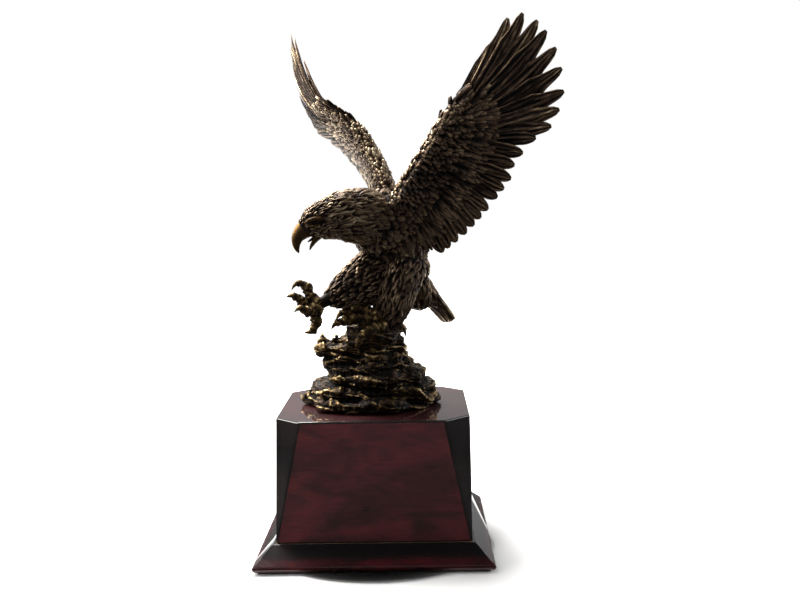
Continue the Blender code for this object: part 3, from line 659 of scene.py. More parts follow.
def crack(grid):
    """Throws up broken horns on the left ledge, then breaks the beds into strata along their normals.

    A horn is a bell over its place, which lifts only what stands above the
    ledge.  The strata fade out at the foot and the crown.
    """
    x, y, z = grid[..., 0], grid[..., 1], grid[..., 2]
    for place, rise, width in LEDGE_HORNS:
        near = np.exp(-((x - place[0]) ** 2 + (y - place[1]) ** 2) / width ** 2)
        z = z + rise * near * np.clip((z - LEDGE_HEIGHT) / 3, 0, 1)
    grid = np.stack([x, y, z], axis=-1)
    normal = surface_normals(smoothed(grid, 2))
    fade = np.clip((z - crag_low[2]) / 3, 0, 1) * np.clip((crag_high[2] - 1 - z) / 2, 0, 1)
    return grid + normal * (strata(grid) * fade)[..., None]


def strata(grid):
    """How far broken rock stands out or back at each point, in millimetres.

    The height is folded by slow noise and cut into layers.  Each layer stands
    out by noise of its own, drawn again for every layer, and leans out to a
    sharp upper lip.  Thick layers come first, then thin ones, then chisel marks.
    """
    x, y, z = grid[..., 0], grid[..., 1], grid[..., 2]
    depth = np.zeros(z.shape)
    for layer_mm, stand_mm, lip_mm, cell, seed in ((6.2, 3.6, 1.8, 14, 41), (2.7, 1.1, 0.8, 8, 47)):
        fold = 9 * (value_noise(grid, 24, seed) - 0.5) + 3 * (value_noise(grid, 8, seed + 1) - 0.5)
        tilted = (z + fold + 0.12 * x) / layer_mm + 0.8 * value_noise(grid, 13, seed + 2)
        layer = np.floor(tilted)
        share = tilted - layer
        own = np.stack([x, y, layer * 7.3 * cell], axis=-1)
        stand = np.clip(2.2 * value_noise(own, (cell, cell, cell), seed + 3) - 0.6, 0, 1) - 0.55
        depth += stand_mm * stand + lip_mm * (share ** 1.6 - 0.4) * np.clip((1 - share) * 6, 0, 1)
    marks = ridges(grid + 3 * value_noise(grid, 9, 51)[..., None], (7, 7, 1.5), 52) - 0.6
    cuts = ridges(grid @ SLANT + 2 * value_noise(grid, 6, 55)[..., None], (6, 1.6, 4), 56) - 0.6
    knobs = ridges(grid + 3 * value_noise(grid, 7, 61)[..., None], 5.5, 62) - 0.6
    chips = ridges(grid + 2 * value_noise(grid, 4, 64)[..., None], 2.6, 65) - 0.6
    grains = value_noise(grid, 1.1, 7) - 0.5
    return depth + 0.9 * marks + 0.7 * cuts + 1.7 * knobs + 0.9 * chips + 0.6 * grains


def edge_rub(grid):
    """Rubbing from 0 to 1, in patches: how far a point stands proud of its near and wider surroundings."""
    normal = surface_normals(smoothed(grid, 1))
    near_proud = ((grid - smoothed(grid, 2)) * normal).sum(axis=-1)
    wide_proud = ((grid - smoothed(grid, 5)) * normal).sum(axis=-1)
    patches = value_noise(grid, 11.0, 71) + 0.5 * value_noise(grid, 4.0, 72) - 0.75
    return np.clip(0.16 + 0.68 * near_proud + 0.20 * wide_proud + 0.46 * patches, 0, 1)


# Bronze patinated dark with liver of sulphur, the raised spots rubbed back with
# an abrasive pad and waxed: black-brown hollows, tan planes and gold edges.
STRAND_DRAW = 0.13
FEATHER_SHIFT = (60, 60, 60)


def patinated_bronze(name, tones, mottle_mm, rub_spread, groove_mm=0.0, relief_mm=0.5):
    """Bronze whose colour, metal and gloss follow how much each spot is rubbed, broken up by a mottle.

    groove_mm is the width of the strands chased along a feather, relief_mm how
    deep the mottle and the strands look.
    """
    bronze, shader = new_material(name)
    place = node(bronze, "ShaderNodeTexCoord").outputs["Object"]
    stored = node(bronze, "ShaderNodeAttribute", attribute_name="vane")
    vane = node(bronze, "ShaderNodeSeparateXYZ", {"Vector": stored.outputs["Vector"]})
    mottle = node(bronze, "ShaderNodeTexNoise", {"Vector": place, "Scale": 1 / (mottle_mm * MM),
                                                 "Detail": 4.0, "Roughness": 0.65})
    broken = node(bronze, "ShaderNodeMath", {0: mottle.outputs["Fac"], 1: -0.5}, operation="ADD")
    rub = node(bronze, "ShaderNodeMath", {0: broken.outputs["Value"], 1: rub_spread, 2: vane.outputs["Z"]},
               operation="MULTIPLY_ADD").outputs["Value"]
    height = mottle.outputs["Fac"]
    if groove_mm:
        # the noise is drawn out along the feather and moved on from feather to feather
        drawn = node(bronze, "ShaderNodeVectorMath", {0: stored.outputs["Vector"],
                                                      1: (1 / groove_mm, STRAND_DRAW / groove_mm, 0)},
                     operation="MULTIPLY")
        shifted = node(bronze, "ShaderNodeVectorMath", {0: place, 1: FEATHER_SHIFT,
                                                        2: drawn.outputs["Vector"]},
                       operation="MULTIPLY_ADD")
        strands = node(bronze, "ShaderNodeTexNoise", {"Vector": shifted.outputs["Vector"], "Scale": 1.0,
                                                      "Detail": 2.0})
        streak = node(bronze, "ShaderNodeMath", {0: strands.outputs["Fac"], 1: -0.5},
                      operation="ADD").outputs["Value"]
        rub = node(bronze, "ShaderNodeMath", {0: streak, 1: 0.9, 2: rub},
                   operation="MULTIPLY_ADD").outputs["Value"]
        height = node(bronze, "ShaderNodeMath", {0: streak, 1: 2.2, 2: height},
                      operation="MULTIPLY_ADD").outputs["Value"]
    tone = node(bronze, "ShaderNodeValToRGB", {"Fac": rub}, stops=tones)
    metal = node(bronze, "ShaderNodeMapRange", {"Value": rub, "From Min": 0.1, "From Max": 0.7,
                                                "To Min": 0.80, "To Max": 0.98})
    rough = node(bronze, "ShaderNodeMapRange", {"Value": rub, "From Min": 0.1, "From Max": 0.9,
                                                "To Min": 0.58, "To Max": 0.34})
    relief = node(bronze, "ShaderNodeBump", {"Height": height, "Strength": 0.8, "Distance": relief_mm * MM})
    feed(bronze, shader, Base_Color=tone.outputs["Color"], Metallic=metal.outputs["Result"],
         Roughness=rough.outputs["Result"], Normal=relief.outputs["Normal"])
    return bronze


CRAG_TONES = [(0.08, "#0a0705"), (0.32, "#2b2016"), (0.56, "#4d3c27"), (0.80, "#7d6743"), (1.0, "#cdb684")]
crag_bronze = patinated_bronze("crag_bronze_rubbed_to_gold", CRAG_TONES, 2.0, 0.58, relief_mm=1.1)


def rubbed_shell(grid, rub):
    """Rings of points as a closed shell whose vane values hold only the rubbing."""
    vane = np.zeros(grid.shape)
    vane[..., 2] = rub
    return grid.reshape(-1, 3), tube_quads(*grid.shape[:2]), vane.reshape(-1, 3)


def ring_grid(first, last, rows, columns):
    """Places along and turns round, in radians, of even rings of points."""
    round_turns = np.linspace(0, 2 * math.pi, columns, endpoint=False)
    return np.meshgrid(np.linspace(first, last, rows), round_turns, indexing="ij")


crag_points = crack(crag_grid())
crag_shell = rubbed_shell(crag_points, edge_rub(crag_points))
make_piece("crag", crag_shell, crag_bronze, "crag_bronze", "rock_mound")


def perch_knob(centre, radii):
    """A boulder on the crag's crown: an ellipsoid swollen by ridged noise, then broken like the rest."""
    down, turn = ring_grid(0.03, math.pi - 0.03, 90, 130)
    way = np.stack([np.sin(down) * np.cos(turn), np.sin(down) * np.sin(turn), np.cos(down)], axis=-1)
    swell = 1 + 0.5 * (ridges(way * 10, 9.0, 83) - 0.6)
    grid = np.array(centre) + way * np.array(radii) * swell[..., None]
    return grid + way * (0.75 * strata(grid))[..., None]


knob_points = perch_knob((-2, -19, 166), (17, 13, 11))
knob_shell = rubbed_shell(knob_points, np.clip(edge_rub(knob_points) + 0.10, 0, 1))
make_piece("crag_perch_knob", knob_shell, crag_bronze, "crag_bronze")


# ------------------------------------------------------------ the standing leg
# Cast in one piece with its foot and pinned down into the crag: a trouser of
# long loose feathers over bare scaled toes that end in hooked claws.
def path_at(stations, t):
    """A smooth path through rows of numbers: between two rows a cubic, sloped by the rows' differences."""
    rows = np.asarray(stations, float)
    slope = np.gradient(rows, axis=0)
    place = np.clip(t, 0, 1) * (len(rows) - 1)
    first = np.minimum(place.astype(int), len(rows) - 2)
    part = (place - first)[..., None]
    square, cube = part ** 2, part ** 3
    eased = (2 * cube - 3 * square + 1) * rows[first] + (3 * square - 2 * cube) * rows[first + 1]
    return eased + (cube - 2 * square + part) * slope[first] + (cube - square) * slope[first + 1]


def limb(spine, across, blunt=10, swell=0.10):
    """The skin of a limb as a function of t along its spine and the turn round it, in radians.

    A point is the spine's, plus the turn's cosine of the half width to the side,
    plus its sine of the half depth.  Both are swollen a little by noise, and
    drawn in at the ends by the root of one less |2t - 1| to the power blunt.
    """
    def skin(t, turn):
        t, turn = np.broadcast_arrays(np.asarray(t, float), np.asarray(turn, float))
        row = path_at(spine, t)
        along = path_at(spine, t + 0.01)[..., :3] - path_at(spine, t - 0.01)[..., :3]
        along = along / np.linalg.norm(along, axis=-1, keepdims=True)
        side = across - along * (along @ across)[..., None]
        side = side / np.linalg.norm(side, axis=-1, keepdims=True)
        depth = np.cross(along, side)
        ends = np.sqrt(np.clip(1 - np.abs(2 * np.clip(t, 0, 1) - 1) ** blunt, 0.0004, 1))
        out = np.cos(turn)[..., None] * row[..., 3:4] * side + np.sin(turn)[..., None] * row[..., 4:5] * depth
        lumps = value_noise(row[..., :3] + out, 9.0, 11) - 0.5
        return row[..., :3] + out * (ends * (1 + swell * lumps))[..., None]
    return skin


def skin_shell(skin, rows, columns, rub=0.15):
    """A limb's own surface as points, quads and vane values, evenly dark."""
    return rubbed_shell(skin(*ring_grid(0, 1, rows, columns)), rub)


# a feather's seven places along: how far each has risen and how rubbed it is
FEATHER_ALONG = np.array([0, 0.15, 0.35, 0.6, 0.82, 0.95, 1.0])
FEATHER_RISE = np.array([-0.5, 0.05, 0.4, 0.7, 0.95, 1.0, 0.8])
FEATHER_RUB = np.array([0.0, 0.10, 0.22, 0.34, 0.50, 0.66, 0.70])
# the six points of each ring: five over the top and one under the belly
FEATHER_ACROSS = np.array([-1, -0.5, 0, 0.5, 1, 0])
RING_RISE = np.array([-0.35, 0.35, 0.75, 0.35, -0.35, 0])
RING_RUB = np.array([-0.10, -0.02, 0.16, -0.02, -0.10, -0.40])
FEATHER_WIDTHS = {
    # half width at each place along, for a round scale, a pointed hackle, a long vane
    "scale": np.array([0.55, 0.85, 1.0, 1.0, 0.85, 0.55, 0.20]),
    "hackle": np.array([0.40, 0.75, 1.0, 0.92, 0.58, 0.26, 0.06]),
    "vane": np.array([0.55, 0.80, 0.95, 1.0, 0.92, 0.62, 0.18]),
}
FEATHER_CROWN = {"scale": 0.55, "hackle": 0.62, "vane": 0.40}
FEATHER_BELLY_MM = -0.45


def repeated_tubes(count, rows, columns):
    """The quads of a count of like tubes, whose points follow one another."""
    first = rows * columns * np.arange(count)[:, None, None]
    return (tube_quads(rows, columns)[None] + first).reshape(-1, 4)


def feather_coat(skin, u, v, heading, length, half_width, kind, lift, seed, outward=1, limits=(0.0, 1.0),
                 wear_and_painted_light=0.0):
    """Feathers lying on a skin, each a small shell of seven rings of six points.

    A feather's ring at share a of its length and share b of its half width is
    the skin's point displaced by a length along its heading and b half widths
    across, worked back into the skin's own two directions, and raised along the
    local normal by its rise, so it hugs the curve and lifts towards its tip.
    """
    rng = np.random.default_rng(seed)
    step = 0.001 * max(1.0, float(np.ptp(u)) / 2)
    by_u = (skin(u + step, v) - skin(u - step, v)) / (2 * step)
    by_v = (skin(u, v + step) - skin(u, v - step)) / (2 * step)
    normal = np.cross(by_v, by_u) * outward
    normal /= np.linalg.norm(normal, axis=-1, keepdims=True)
    size_u = np.linalg.norm(by_u, axis=-1)
    first = by_u / size_u[:, None]
    second = by_v - first * (by_v * first).sum(-1, keepdims=True)
    size_v = np.linalg.norm(second, axis=-1)
    second = second / size_v[:, None]
    shear = (by_v * first).sum(-1)
    flow = np.cos(heading)[:, None] * first + np.sin(heading)[:, None] * second
    right_hand = np.cross(normal, flow)
    length = np.ones_like(u) * length
    half_width = np.ones_like(u) * half_width
    sway = rng.normal(0, 0.10, len(u))
    width = FEATHER_WIDTHS[kind]
    a = FEATHER_ALONG[None, :, None] * length[:, None, None]
    b = (FEATHER_ACROSS[None, None] * width[None, :, None]) * half_width[:, None, None]
    bend = sway[:, None, None] * FEATHER_ALONG[None, :, None] ** 2 * length[:, None, None]
    b_bent = b + bend
    dot = [(right_hand * axis).sum(-1)[:, None, None] for axis in (first, second)]
    along_first = a * np.cos(heading)[:, None, None] + b_bent * dot[0]
    along_second = a * np.sin(heading)[:, None, None] + b_bent * dot[1]
    change_v = along_second / size_v[:, None, None]
    change_u = (along_first - change_v * shear[:, None, None]) / size_u[:, None, None]
    near_u = np.clip(u[:, None, None] + change_u, *limits)
    near_v = v[:, None, None] + change_v
    on_skin = skin(near_u, near_v)
    lu = skin(near_u + step, near_v) - skin(near_u - step, near_v)
    lv = skin(near_u, near_v + step) - skin(near_u, near_v - step)
    out = np.cross(lv, lu) * outward
    out_size = np.linalg.norm(out, axis=-1, keepdims=True)
    out = np.where(out_size > 1e-9, out / np.maximum(out_size, 1e-9), normal[:, None, None])
    lifted = lift * (1 + rng.normal(0, 0.25, len(u)))[:, None, None]
    crown = RING_RISE[None, None] * half_width[:, None, None] * FEATHER_CROWN[kind] * width[None, :, None]
    height = FEATHER_RISE[None, :, None] * lifted + crown
    height[..., -1] = FEATHER_BELLY_MM
    points = on_skin + out * height[..., None]
    # the shift adds wear, and on the wings painted light and shade as well
    own_rub = rng.normal(0.02 + wear_and_painted_light, 0.09, len(u))[:, None, None]
    rub = FEATHER_RUB[None, :, None] + RING_RUB[None, None] + own_rub
    start_mm = rng.uniform(0, 3, len(u))[:, None, None]
    vane = np.stack([np.broadcast_to(value, height.shape) for value in (b, a + start_mm, rub)], axis=-1)
    return points.reshape(-1, 3), repeated_tubes(*height.shape), vane.reshape(-1, 3)


def limb_rows(skin, start, stop, pitch, spacing, seed):
    """Where feathers sit on a limb: rings a pitch apart, each shared out evenly round it, then jittered."""
    rng = np.random.default_rng(seed)
    t = np.linspace(start, stop, 120)
    turns = np.linspace(0, 2 * math.pi, 25)
    rings = skin(t[:, None], turns[None])
    centres = rings[:, :-1].mean(axis=1)
    travelled = np.concatenate([[0], np.cumsum(np.linalg.norm(np.diff(centres, axis=0), axis=-1))])
    around = np.linalg.norm(np.diff(rings, axis=1), axis=-1).sum(axis=1)
    rows_at = np.interp(np.arange(0, travelled[-1], pitch), travelled, t)
    anchors = []
    for index, row in enumerate(rows_at):
        count = max(5, int(np.interp(row, t, around) / spacing))
        ring_turn = (np.arange(count) + 0.5 * (index % 2)) * 2 * math.pi / count
        ring_turn = ring_turn + rng.normal(0, 0.16, count) * 2 * math.pi / count
        ring_t = row + rng.normal(0, 0.25, count) * pitch * (stop - start) / travelled[-1]
        anchors.append(np.stack([ring_t, ring_turn]))
    t, turn = np.concatenate(anchors, axis=1)
    return np.clip(t, 0.01, 0.99), turn


def merged(*shells):
    """Several shells as one: their points, quads and vane values, each turned to face outward."""
    points, faces, vanes = [], [], []
    count = 0
    for shell_points, shell_faces, shell_vane in shells:
        corner = shell_points[shell_faces]
        middle = corner.mean(axis=1)
        facing = np.cross(corner[:, 2] - corner[:, 0], corner[:, 3] - corner[:, 1])
        if ((middle - shell_points.mean(axis=0)) * facing).sum() < 0:
            shell_faces = shell_faces[:, ::-1]
        points.append(shell_points)
        faces.append(shell_faces + count)
        vanes.append(shell_vane)
        count += len(shell_points)
    return np.concatenate(points), np.concatenate(faces), np.concatenate(vanes)


TOE_STOUT = 1.12


def toe(stations, scute_mm=1.7, claw=0.26):
    """A toe: a tube along a smooth path, ringed with scutes on top, ending in a smooth claw.

    The radius is the path's, swollen by the sine of the length over each scute
    on top, by pads below, by knuckles and by lumpy noise.  The claw is the last
    share, smooth, and deeper than it is wide.
    """
    rows, columns = 72, 20
    t = np.linspace(0, 1, rows)
    path = path_at(stations, t)
    along = np.gradient(path[:, :3], axis=0)
    along /= np.linalg.norm(along, axis=-1, keepdims=True)
    side = np.cross(along, (0.05, 0.05, 1))
    side /= np.linalg.norm(side, axis=-1, keepdims=True)
    top = np.cross(side, along)
    length = np.concatenate([[0], np.cumsum(np.linalg.norm(np.diff(path[:, :3], axis=0), axis=-1))])
    turn = np.linspace(0, 2 * math.pi, columns, endpoint=False)
    horn = np.clip((t - (1 - claw)) / 0.04, 0, 1)[:, None]
    upper = np.clip(np.sin(turn) + 0.3, 0, 1)[None]
    scute = np.abs(np.sin(math.pi * length / scute_mm))[:, None]
    pads = np.clip(-np.sin(turn), 0, 1)[None] * (0.5 + 0.5 * np.sin(length * 1.1))[:, None]
    knuckles = (np.sin(math.pi * 3.1 * t + 0.6) ** 2)[:, None]
    swell = 1 + (1 - horn) * (0.10 * upper * (scute - 0.3) + 0.20 * pads + 0.22 * knuckles) - 0.16 * horn
    lump_place = np.stack([length[:, None] + 0 * turn, turn[None] * 2 + 0 * t[:, None], 0 * swell], axis=-1)
    lumps = value_noise(lump_place, 1.4, 21)
    radius = path[:, 3:4] * (swell * TOE_STOUT + (1 - horn) * 0.60 * (lumps - 0.5))
    points = path[:, None, :3] + (radius * np.cos(turn))[..., None] * side[:, None] \
        + (radius * (1 + 0.12 * horn) * np.sin(turn))[..., None] * top[:, None]
    flesh_rub = 0.26 * upper * scute + 0.12 * pads + 1.1 * (lumps - 0.5)
    return rubbed_shell(points, 0.43 + (1 - horn) * flesh_rub + horn * (0.06 + 0.30 * upper))


BRONZE_TONES = [(0.04, "#090605"), (0.24, "#291f19"), (0.46, "#5e4c3e"), (0.69, "#a08a6f"), (0.96, "#e6d6b5")]
STRAND_MM = 1.3
eagle_bronze = patinated_bronze("feather_bronze_rubbed_and_waxed", BRONZE_TONES, 5.0, 0.34, STRAND_MM)
foot_bronze = patinated_bronze("foot_bronze_rubbed_to_gold", CRAG_TONES, 1.8, 0.55, relief_mm=0.9)
SIDEWAYS = np.array([0.7071, -0.7071, 0.0])
STANDING_SPINE = [
    # x, y, z, half width, half depth, from the hip down to the ankle
    (30, -3, 226, 15, 14), (24, -8, 214, 16, 16), (19, -12, 202, 15.5, 15), (16, -14, 191, 14, 13),
    (13, -15, 182, 12.5, 11.5), (11, -16, 176, 9, 9), (9, -17, 171, 7, 7),
]
STANDING_TOES = [
    # x, y, z, radius: inner, middle, outer and hind toe, each over the rock to its claw's point
    [(9, -17, 177, 5), (-5, -19, 184.5, 3.7), (-14, -21, 186.5, 3.3), (-21, -23, 184.5, 2.7),
     (-25.3, -24, 182.8, 1.8), (-28, -25, 179, 0.35)],
    [(9, -18, 174, 5), (-6, -24, 179.5, 3.7), (-17, -28, 179.5, 3.2), (-24, -31, 178, 2.6),
     (-28.3, -33, 176.5, 1.7), (-31, -34, 173, 0.35)],
    [(9, -18, 174, 5), (5, -29, 174, 3.7), (-2, -35, 172, 3.2), (-8, -38, 167, 2.6), (-11, -39, 161.5, 1.6),
     (-12, -38.5, 157.5, 0.35)],
    [(10, -16, 174, 5), (16, -7, 173.5, 3.8), (20, 2, 170.5, 2.9), (24, 8, 166, 1.7), (25, 9, 161, 0.35)],
]


def trousers(spine, stop, seed, length=(8.5, 11.0)):
    """The feathered part of a leg: a dark core under rows of loose hackles of first and last length."""
    skin = limb(spine, SIDEWAYS, blunt=14)
    t, turn = limb_rows(skin, 0.03, stop, 3.6, 3.0, seed)
    jitter = np.random.default_rng(seed + 50).normal(0, 0.22, len(t))
    sizes = length[0] + (length[1] - length[0]) * t
    hackles = feather_coat(skin, t, turn, jitter, sizes, 1.75, "hackle", 1.3, seed)
    return merged(skin_shell(skin, 60, 36), hackles)


make_piece("standing_leg_trousers", trousers(STANDING_SPINE, 0.86, 301), eagle_bronze, "antique_bronze",
           "standing_leg")
standing_foot = merged(*[toe(stations) for stations in STANDING_TOES])
make_piece("standing_foot_toes", standing_foot, foot_bronze, "antique_bronze")


# ------------------------------------------------------------------- the torso
# The body the wings, head, legs and tail are pinned to: cast over a hard core,
# its whole skin chased with overlapping breast and belly feathers.
TORSO_SPINE = [
    # x, y, z, half width, half depth, from the breast back to the rump
    (-6, -21, 257, 19.5, 21), (5, -9, 253, 24, 25), (14, 0, 246, 26, 27), (20, 5, 234, 24, 24.5),
    (24.5, 9, 221, 19, 20), (31, 14, 209, 14, 13.5), (36, 18, 200, 9, 8),
]
torso_skin = limb(TORSO_SPINE, SIDEWAYS, blunt=9, swell=0.14)
torso_t, torso_turn = limb_rows(torso_skin, 0.02, 0.93, 4.0, 4.2, 401)
torso_lean = np.random.default_rng(402).normal(0, 0.20, len(torso_t))
torso_feathers = feather_coat(torso_skin, torso_t, torso_turn, torso_lean, 7.5, 2.7, "scale", 1.3, 403)
torso_shells = merged(skin_shell(torso_skin, 70, 60), torso_feathers)
make_piece("torso_feathers", torso_shells, eagle_bronze, "antique_bronze", "torso")


# -------------------------------------------------------------- the raised leg
# The same trouser thrown forward from the belly, a bare ankle, and a foot with
# its talons spread to strike.
RAISED_SPINE = [
    # x, y, z, half width, half depth, from inside the belly to the ankle
    (15, 12, 222, 17, 17), (6, 1, 214.5, 17, 19.5), (-5, -10, 208.5, 15, 19.5), (-16, -19, 203.5, 12, 14.5),
    (-26, -26, 198.5, 8.5, 10), (-33, -29, 195.5, 5, 5.5), (-38, -31, 193, 4.2, 4.6),
    (-43, -33, 190.5, 4.6, 4.6),
]
RAISED_TOES = [
    # x, y, z, radius: three toes forward and the hind toe hanging below
    [(-42, -33, 191, 4), (-47, -33, 199, 3.4), (-48.5, -33, 204.5, 2.9), (-53, -33.5, 208.2, 2.3),
     (-57.5, -34, 207.5, 1.5), (-60.5, -34, 203.6, 0.35)],
    [(-43, -34, 189, 4), (-49, -36, 191.5, 3.1), (-54, -38, 196.5, 2.7), (-59, -40, 199.6, 2.0),
     (-63.6, -41, 199.0, 0.35)],
    [(-42, -33, 189, 4), (-45, -41, 187, 3.0), (-49, -47, 189, 2.6), (-53, -50, 191, 1.9),
     (-57, -51.5, 188.5, 0.35)],
    [(-42, -32, 190, 4), (-42.5, -33, 183, 3.6), (-43, -34, 177, 3.0), (-46, -34.5, 171.8, 2.2),
     (-51.6, -35, 170.6, 0.35)],
]
make_piece("raised_leg_trousers", trousers(RAISED_SPINE, 0.68, 311, (7.0, 7.0)), eagle_bronze,
           "antique_bronze", "raised_leg")
raised_foot = merged(*[toe(stations, 1.5) for stations in RAISED_TOES])
make_piece("raised_foot_toes", raised_foot, foot_bronze, "antique_bronze")


# -------------------------------------------------------------------- the tail
# A folded tail cast as one wedge: long quills side by side above and below, short
# coverts over their roots, and the loose vent feathers that hang under it.
TAIL_ROOT = np.array([32.0, 14.5, 209.0])
TAIL_TIP = np.array([61.0, 26.0, 170.5])
# share of the way to the tip, half width, half depth
TAIL_SHAPE = [(0, 9, 8), (0.25, 10, 6.5), (0.6, 9.5, 4.2), (0.88, 8.5, 2.8), (1.0, 6.5, 2)]
VENT_SPINE = [(32, 13, 212, 9, 8), (34, 12, 201, 12, 7.5), (35.5, 11.5, 191, 12, 6), (36, 11.5, 183, 8, 3.5)]
TAIL_SPINE = [(*(TAIL_ROOT + (TAIL_TIP - TAIL_ROOT) * share), wide, deep) for share, wide, deep in TAIL_SHAPE]
TAIL_ACROSS = np.array([0.68, -0.68, -0.27])
tail_skin = limb(TAIL_SPINE, TAIL_ACROSS, blunt=22, swell=0.0)
QUILLS = 20
quill_turn = np.concatenate([np.linspace(0.15, 3.0, QUILLS // 2), np.linspace(3.3, 6.1, QUILLS // 2)])
quill_reach = 38 + np.random.default_rng(500).uniform(-5, 2.0, QUILLS)
tail_quills = feather_coat(tail_skin, np.full(QUILLS, 0.20), quill_turn, np.zeros(QUILLS), quill_reach, 1.9,
                           "vane", 1.7, 501, wear_and_painted_light=0.08)
tail_t, tail_turn = limb_rows(tail_skin, 0.02, 0.42, 4.0, 3.6, 502)
tail_lean = np.random.default_rng(503).normal(0, 0.15, len(tail_t))
tail_coverts = feather_coat(tail_skin, tail_t, tail_turn, tail_lean, 10.0, 2.0, "vane", 1.0, 504)
vent_skin = limb(VENT_SPINE, SIDEWAYS, blunt=14)
vent_t, vent_turn = limb_rows(vent_skin, 0.10, 0.86, 3.6, 3.0, 505)
vent_lean = np.random.default_rng(506).normal(0, 0.2, len(vent_t))
vent_hackles = feather_coat(vent_skin, vent_t, vent_turn, vent_lean, 9.0, 1.7, "hackle", 1.4, 507)
tail_shells = merged(skin_shell(tail_skin, 50, 40, 0.10), tail_quills, tail_coverts,
                     skin_shell(vent_skin, 40, 36), vent_hackles)
make_piece("tail_feathers", tail_shells, eagle_bronze, "antique_bronze", "tail")


# ------------------------------------------------------------------- the wings
# Each wing is one casting pinned to the shoulder by two dowels.  It is built as
# a bird's is: an arm and hand, flight feathers fanned from them, then rows of
# coverts, large to small, shingled towards the leading edge on both faces.
UP = np.array([0.0, 0.0, 1.0])
WING_SHAPES = {
    # side, shoulder, degrees raised, swept, twisted and headed, the camber of arm, hand and
    # trailing edge, then how long the flight feathers are and the first one's angle
    "left_wing": ((1, (23, -20, 273), 50.5, 2.6, 30, 45, (5, 10, 0)), (1.0, -12.5)),
    "right_wing": ((-1, (13.6, 18.4, 274.9), 53.2, -8.0, 32.1, 52.2, (11, 16.6, 10.8)), (1.08, -8.0)),
}
ARM_MM = 100
WRIST_MM = 70
HAND_BEND_FROM = 90
HAND_BEND_MM = 80
CHORD_MM = 70
PRIMARY_COUNT = 10
SECONDARY_COUNT = 13


def wing_plane(side, shoulder, raised, swept, twisted, headed, camber):
    """A wing's surface as a function of s along the span, c along the chord and a lift to the back.

    A point is the shoulder + s span + c chord + bend back, where the bend is a
    half sine along the arm, a square along the hand and a square of the chord.
    """
    raised, swept, twisted, headed = (math.radians(angle) for angle in (raised, swept, twisted, headed))
    span = np.array([-math.sin(swept), math.cos(swept) * math.cos(raised),
                     math.cos(swept) * math.sin(raised)])
    chord = np.array([-math.sin(twisted), math.cos(twisted) * math.sin(raised),
                      -math.cos(twisted) * math.cos(raised)])
    chord = chord - span * (span @ chord)
    chord = chord / np.linalg.norm(chord)
    ahead_way = np.array([-math.cos(headed), -math.sin(headed), 0])
    side_way = side * np.array([math.sin(headed), -math.cos(headed), 0])
    axes = np.stack([ahead_way, side_way, UP])
    span, chord = span @ axes, chord @ axes
    back = side * np.cross(span, chord)

    def plane(s, c, lift=0.0):
        s, c, lift = np.broadcast_arrays(np.asarray(s, float), c, lift)
        hand = np.clip((s - HAND_BEND_FROM) / HAND_BEND_MM, 0, 2)
        bend = camber[0] * np.sin(math.pi * np.clip(s / ARM_MM, 0, 1)) + camber[1] * hand ** 2
        bend = bend + camber[2] * (c / CHORD_MM) ** 2 + lift
        return np.array(shoulder, float) + s[..., None] * span + c[..., None] * chord + bend[..., None] * back
    return plane


def flight_rays(stretch, first_angle):
    """Each flight feather's line in the wing's plane: s and c at the leading edge, the tip and the root."""
    t = np.linspace(0, 1, PRIMARY_COUNT)
    angle = np.radians(first_angle + (69 - first_angle) * t ** 1.25)
    length = stretch * (72 - 37 * np.exp(-t / 0.12) - 14 * t ** 3)
    primaries = np.stack([WRIST_MM + 1 - 7 * t, -4 + 1.5 * t, ARM_MM - 10 * t + length * np.cos(angle),
                          7 + 6 * t + length * np.sin(angle), WRIST_MM - 8 * t, 2 + 8 * t], axis=-1)
    t = np.linspace(0, 1, SECONDARY_COUNT)
    angle = np.radians(76 + 46 * t ** 0.6)
    length = stretch * (50 - 8 * t ** 4 - 5 * np.exp(-((t - 0.13) / 0.07) ** 2))
    secondaries = np.stack([62 - 62 * t, np.full_like(t, -2.5), 86 - 84 * t + length * np.cos(angle),
                            14 + t + length * np.sin(angle), 61 - 59 * t, 12 + 3 * t], axis=-1)
    shoulder = np.array([[-9, -1, -29, 36, -9, 12], [-18, 6, -29, 26, -18, 12]])
    return np.concatenate([primaries, secondaries, shoulder])


def arm_thickness(s, c):
    """Half the wing's thickness: most behind the leading edge and near the shoulder, least in the quills."""
    across = np.interp(c, [-5, -2, 3, 10, 20, 34, 60], [0.8, 2.6, 3.9, 3.6, 2.4, 1.4, 0.9])
    hand = 1 - 0.65 * np.clip((s - WRIST_MM + 4) / 22, 0, 1)
    return across * (2 - np.clip(s / 60, 0, 1)) * hand


def wing_core(plane, rays):
    """The arm's body: lens-shaped sections along smoothed rays, from the leading edge on.

    It ends at three fifths of each ray in the arm and at a fifth to a third in
    the hand, where the quills stand free.
    """
    ray = path_at(rays, np.linspace(0, 1, 90))
    share = np.concatenate([np.linspace(0, 0.12, 6), np.linspace(0.18, 0.62, 9)]) / 0.62
    deepest = np.interp(np.linspace(0, len(rays) - 1, 90), [0, 9, 12], [0.20, 0.34, 0.62])
    share = share[None] * deepest[:, None]
    flat = ray[:, None, :2] + (ray[:, None, 2:4] - ray[:, None, :2]) * share[..., None]
    half = arm_thickness(flat[..., 0], flat[..., 1])
    half[:, 0] = 0.25
    half[:, -1] = 0.3
    above = plane(flat[..., 0], flat[..., 1], half)
    below = plane(flat[..., 0], flat[..., 1], -half)
    return rubbed_shell(np.concatenate([above, below[:, ::-1]], axis=1), 0.14)


BLADE_ALONG = np.linspace(0, 1, 26)
BLADE_ACROSS = np.linspace(-1, 1, 17)
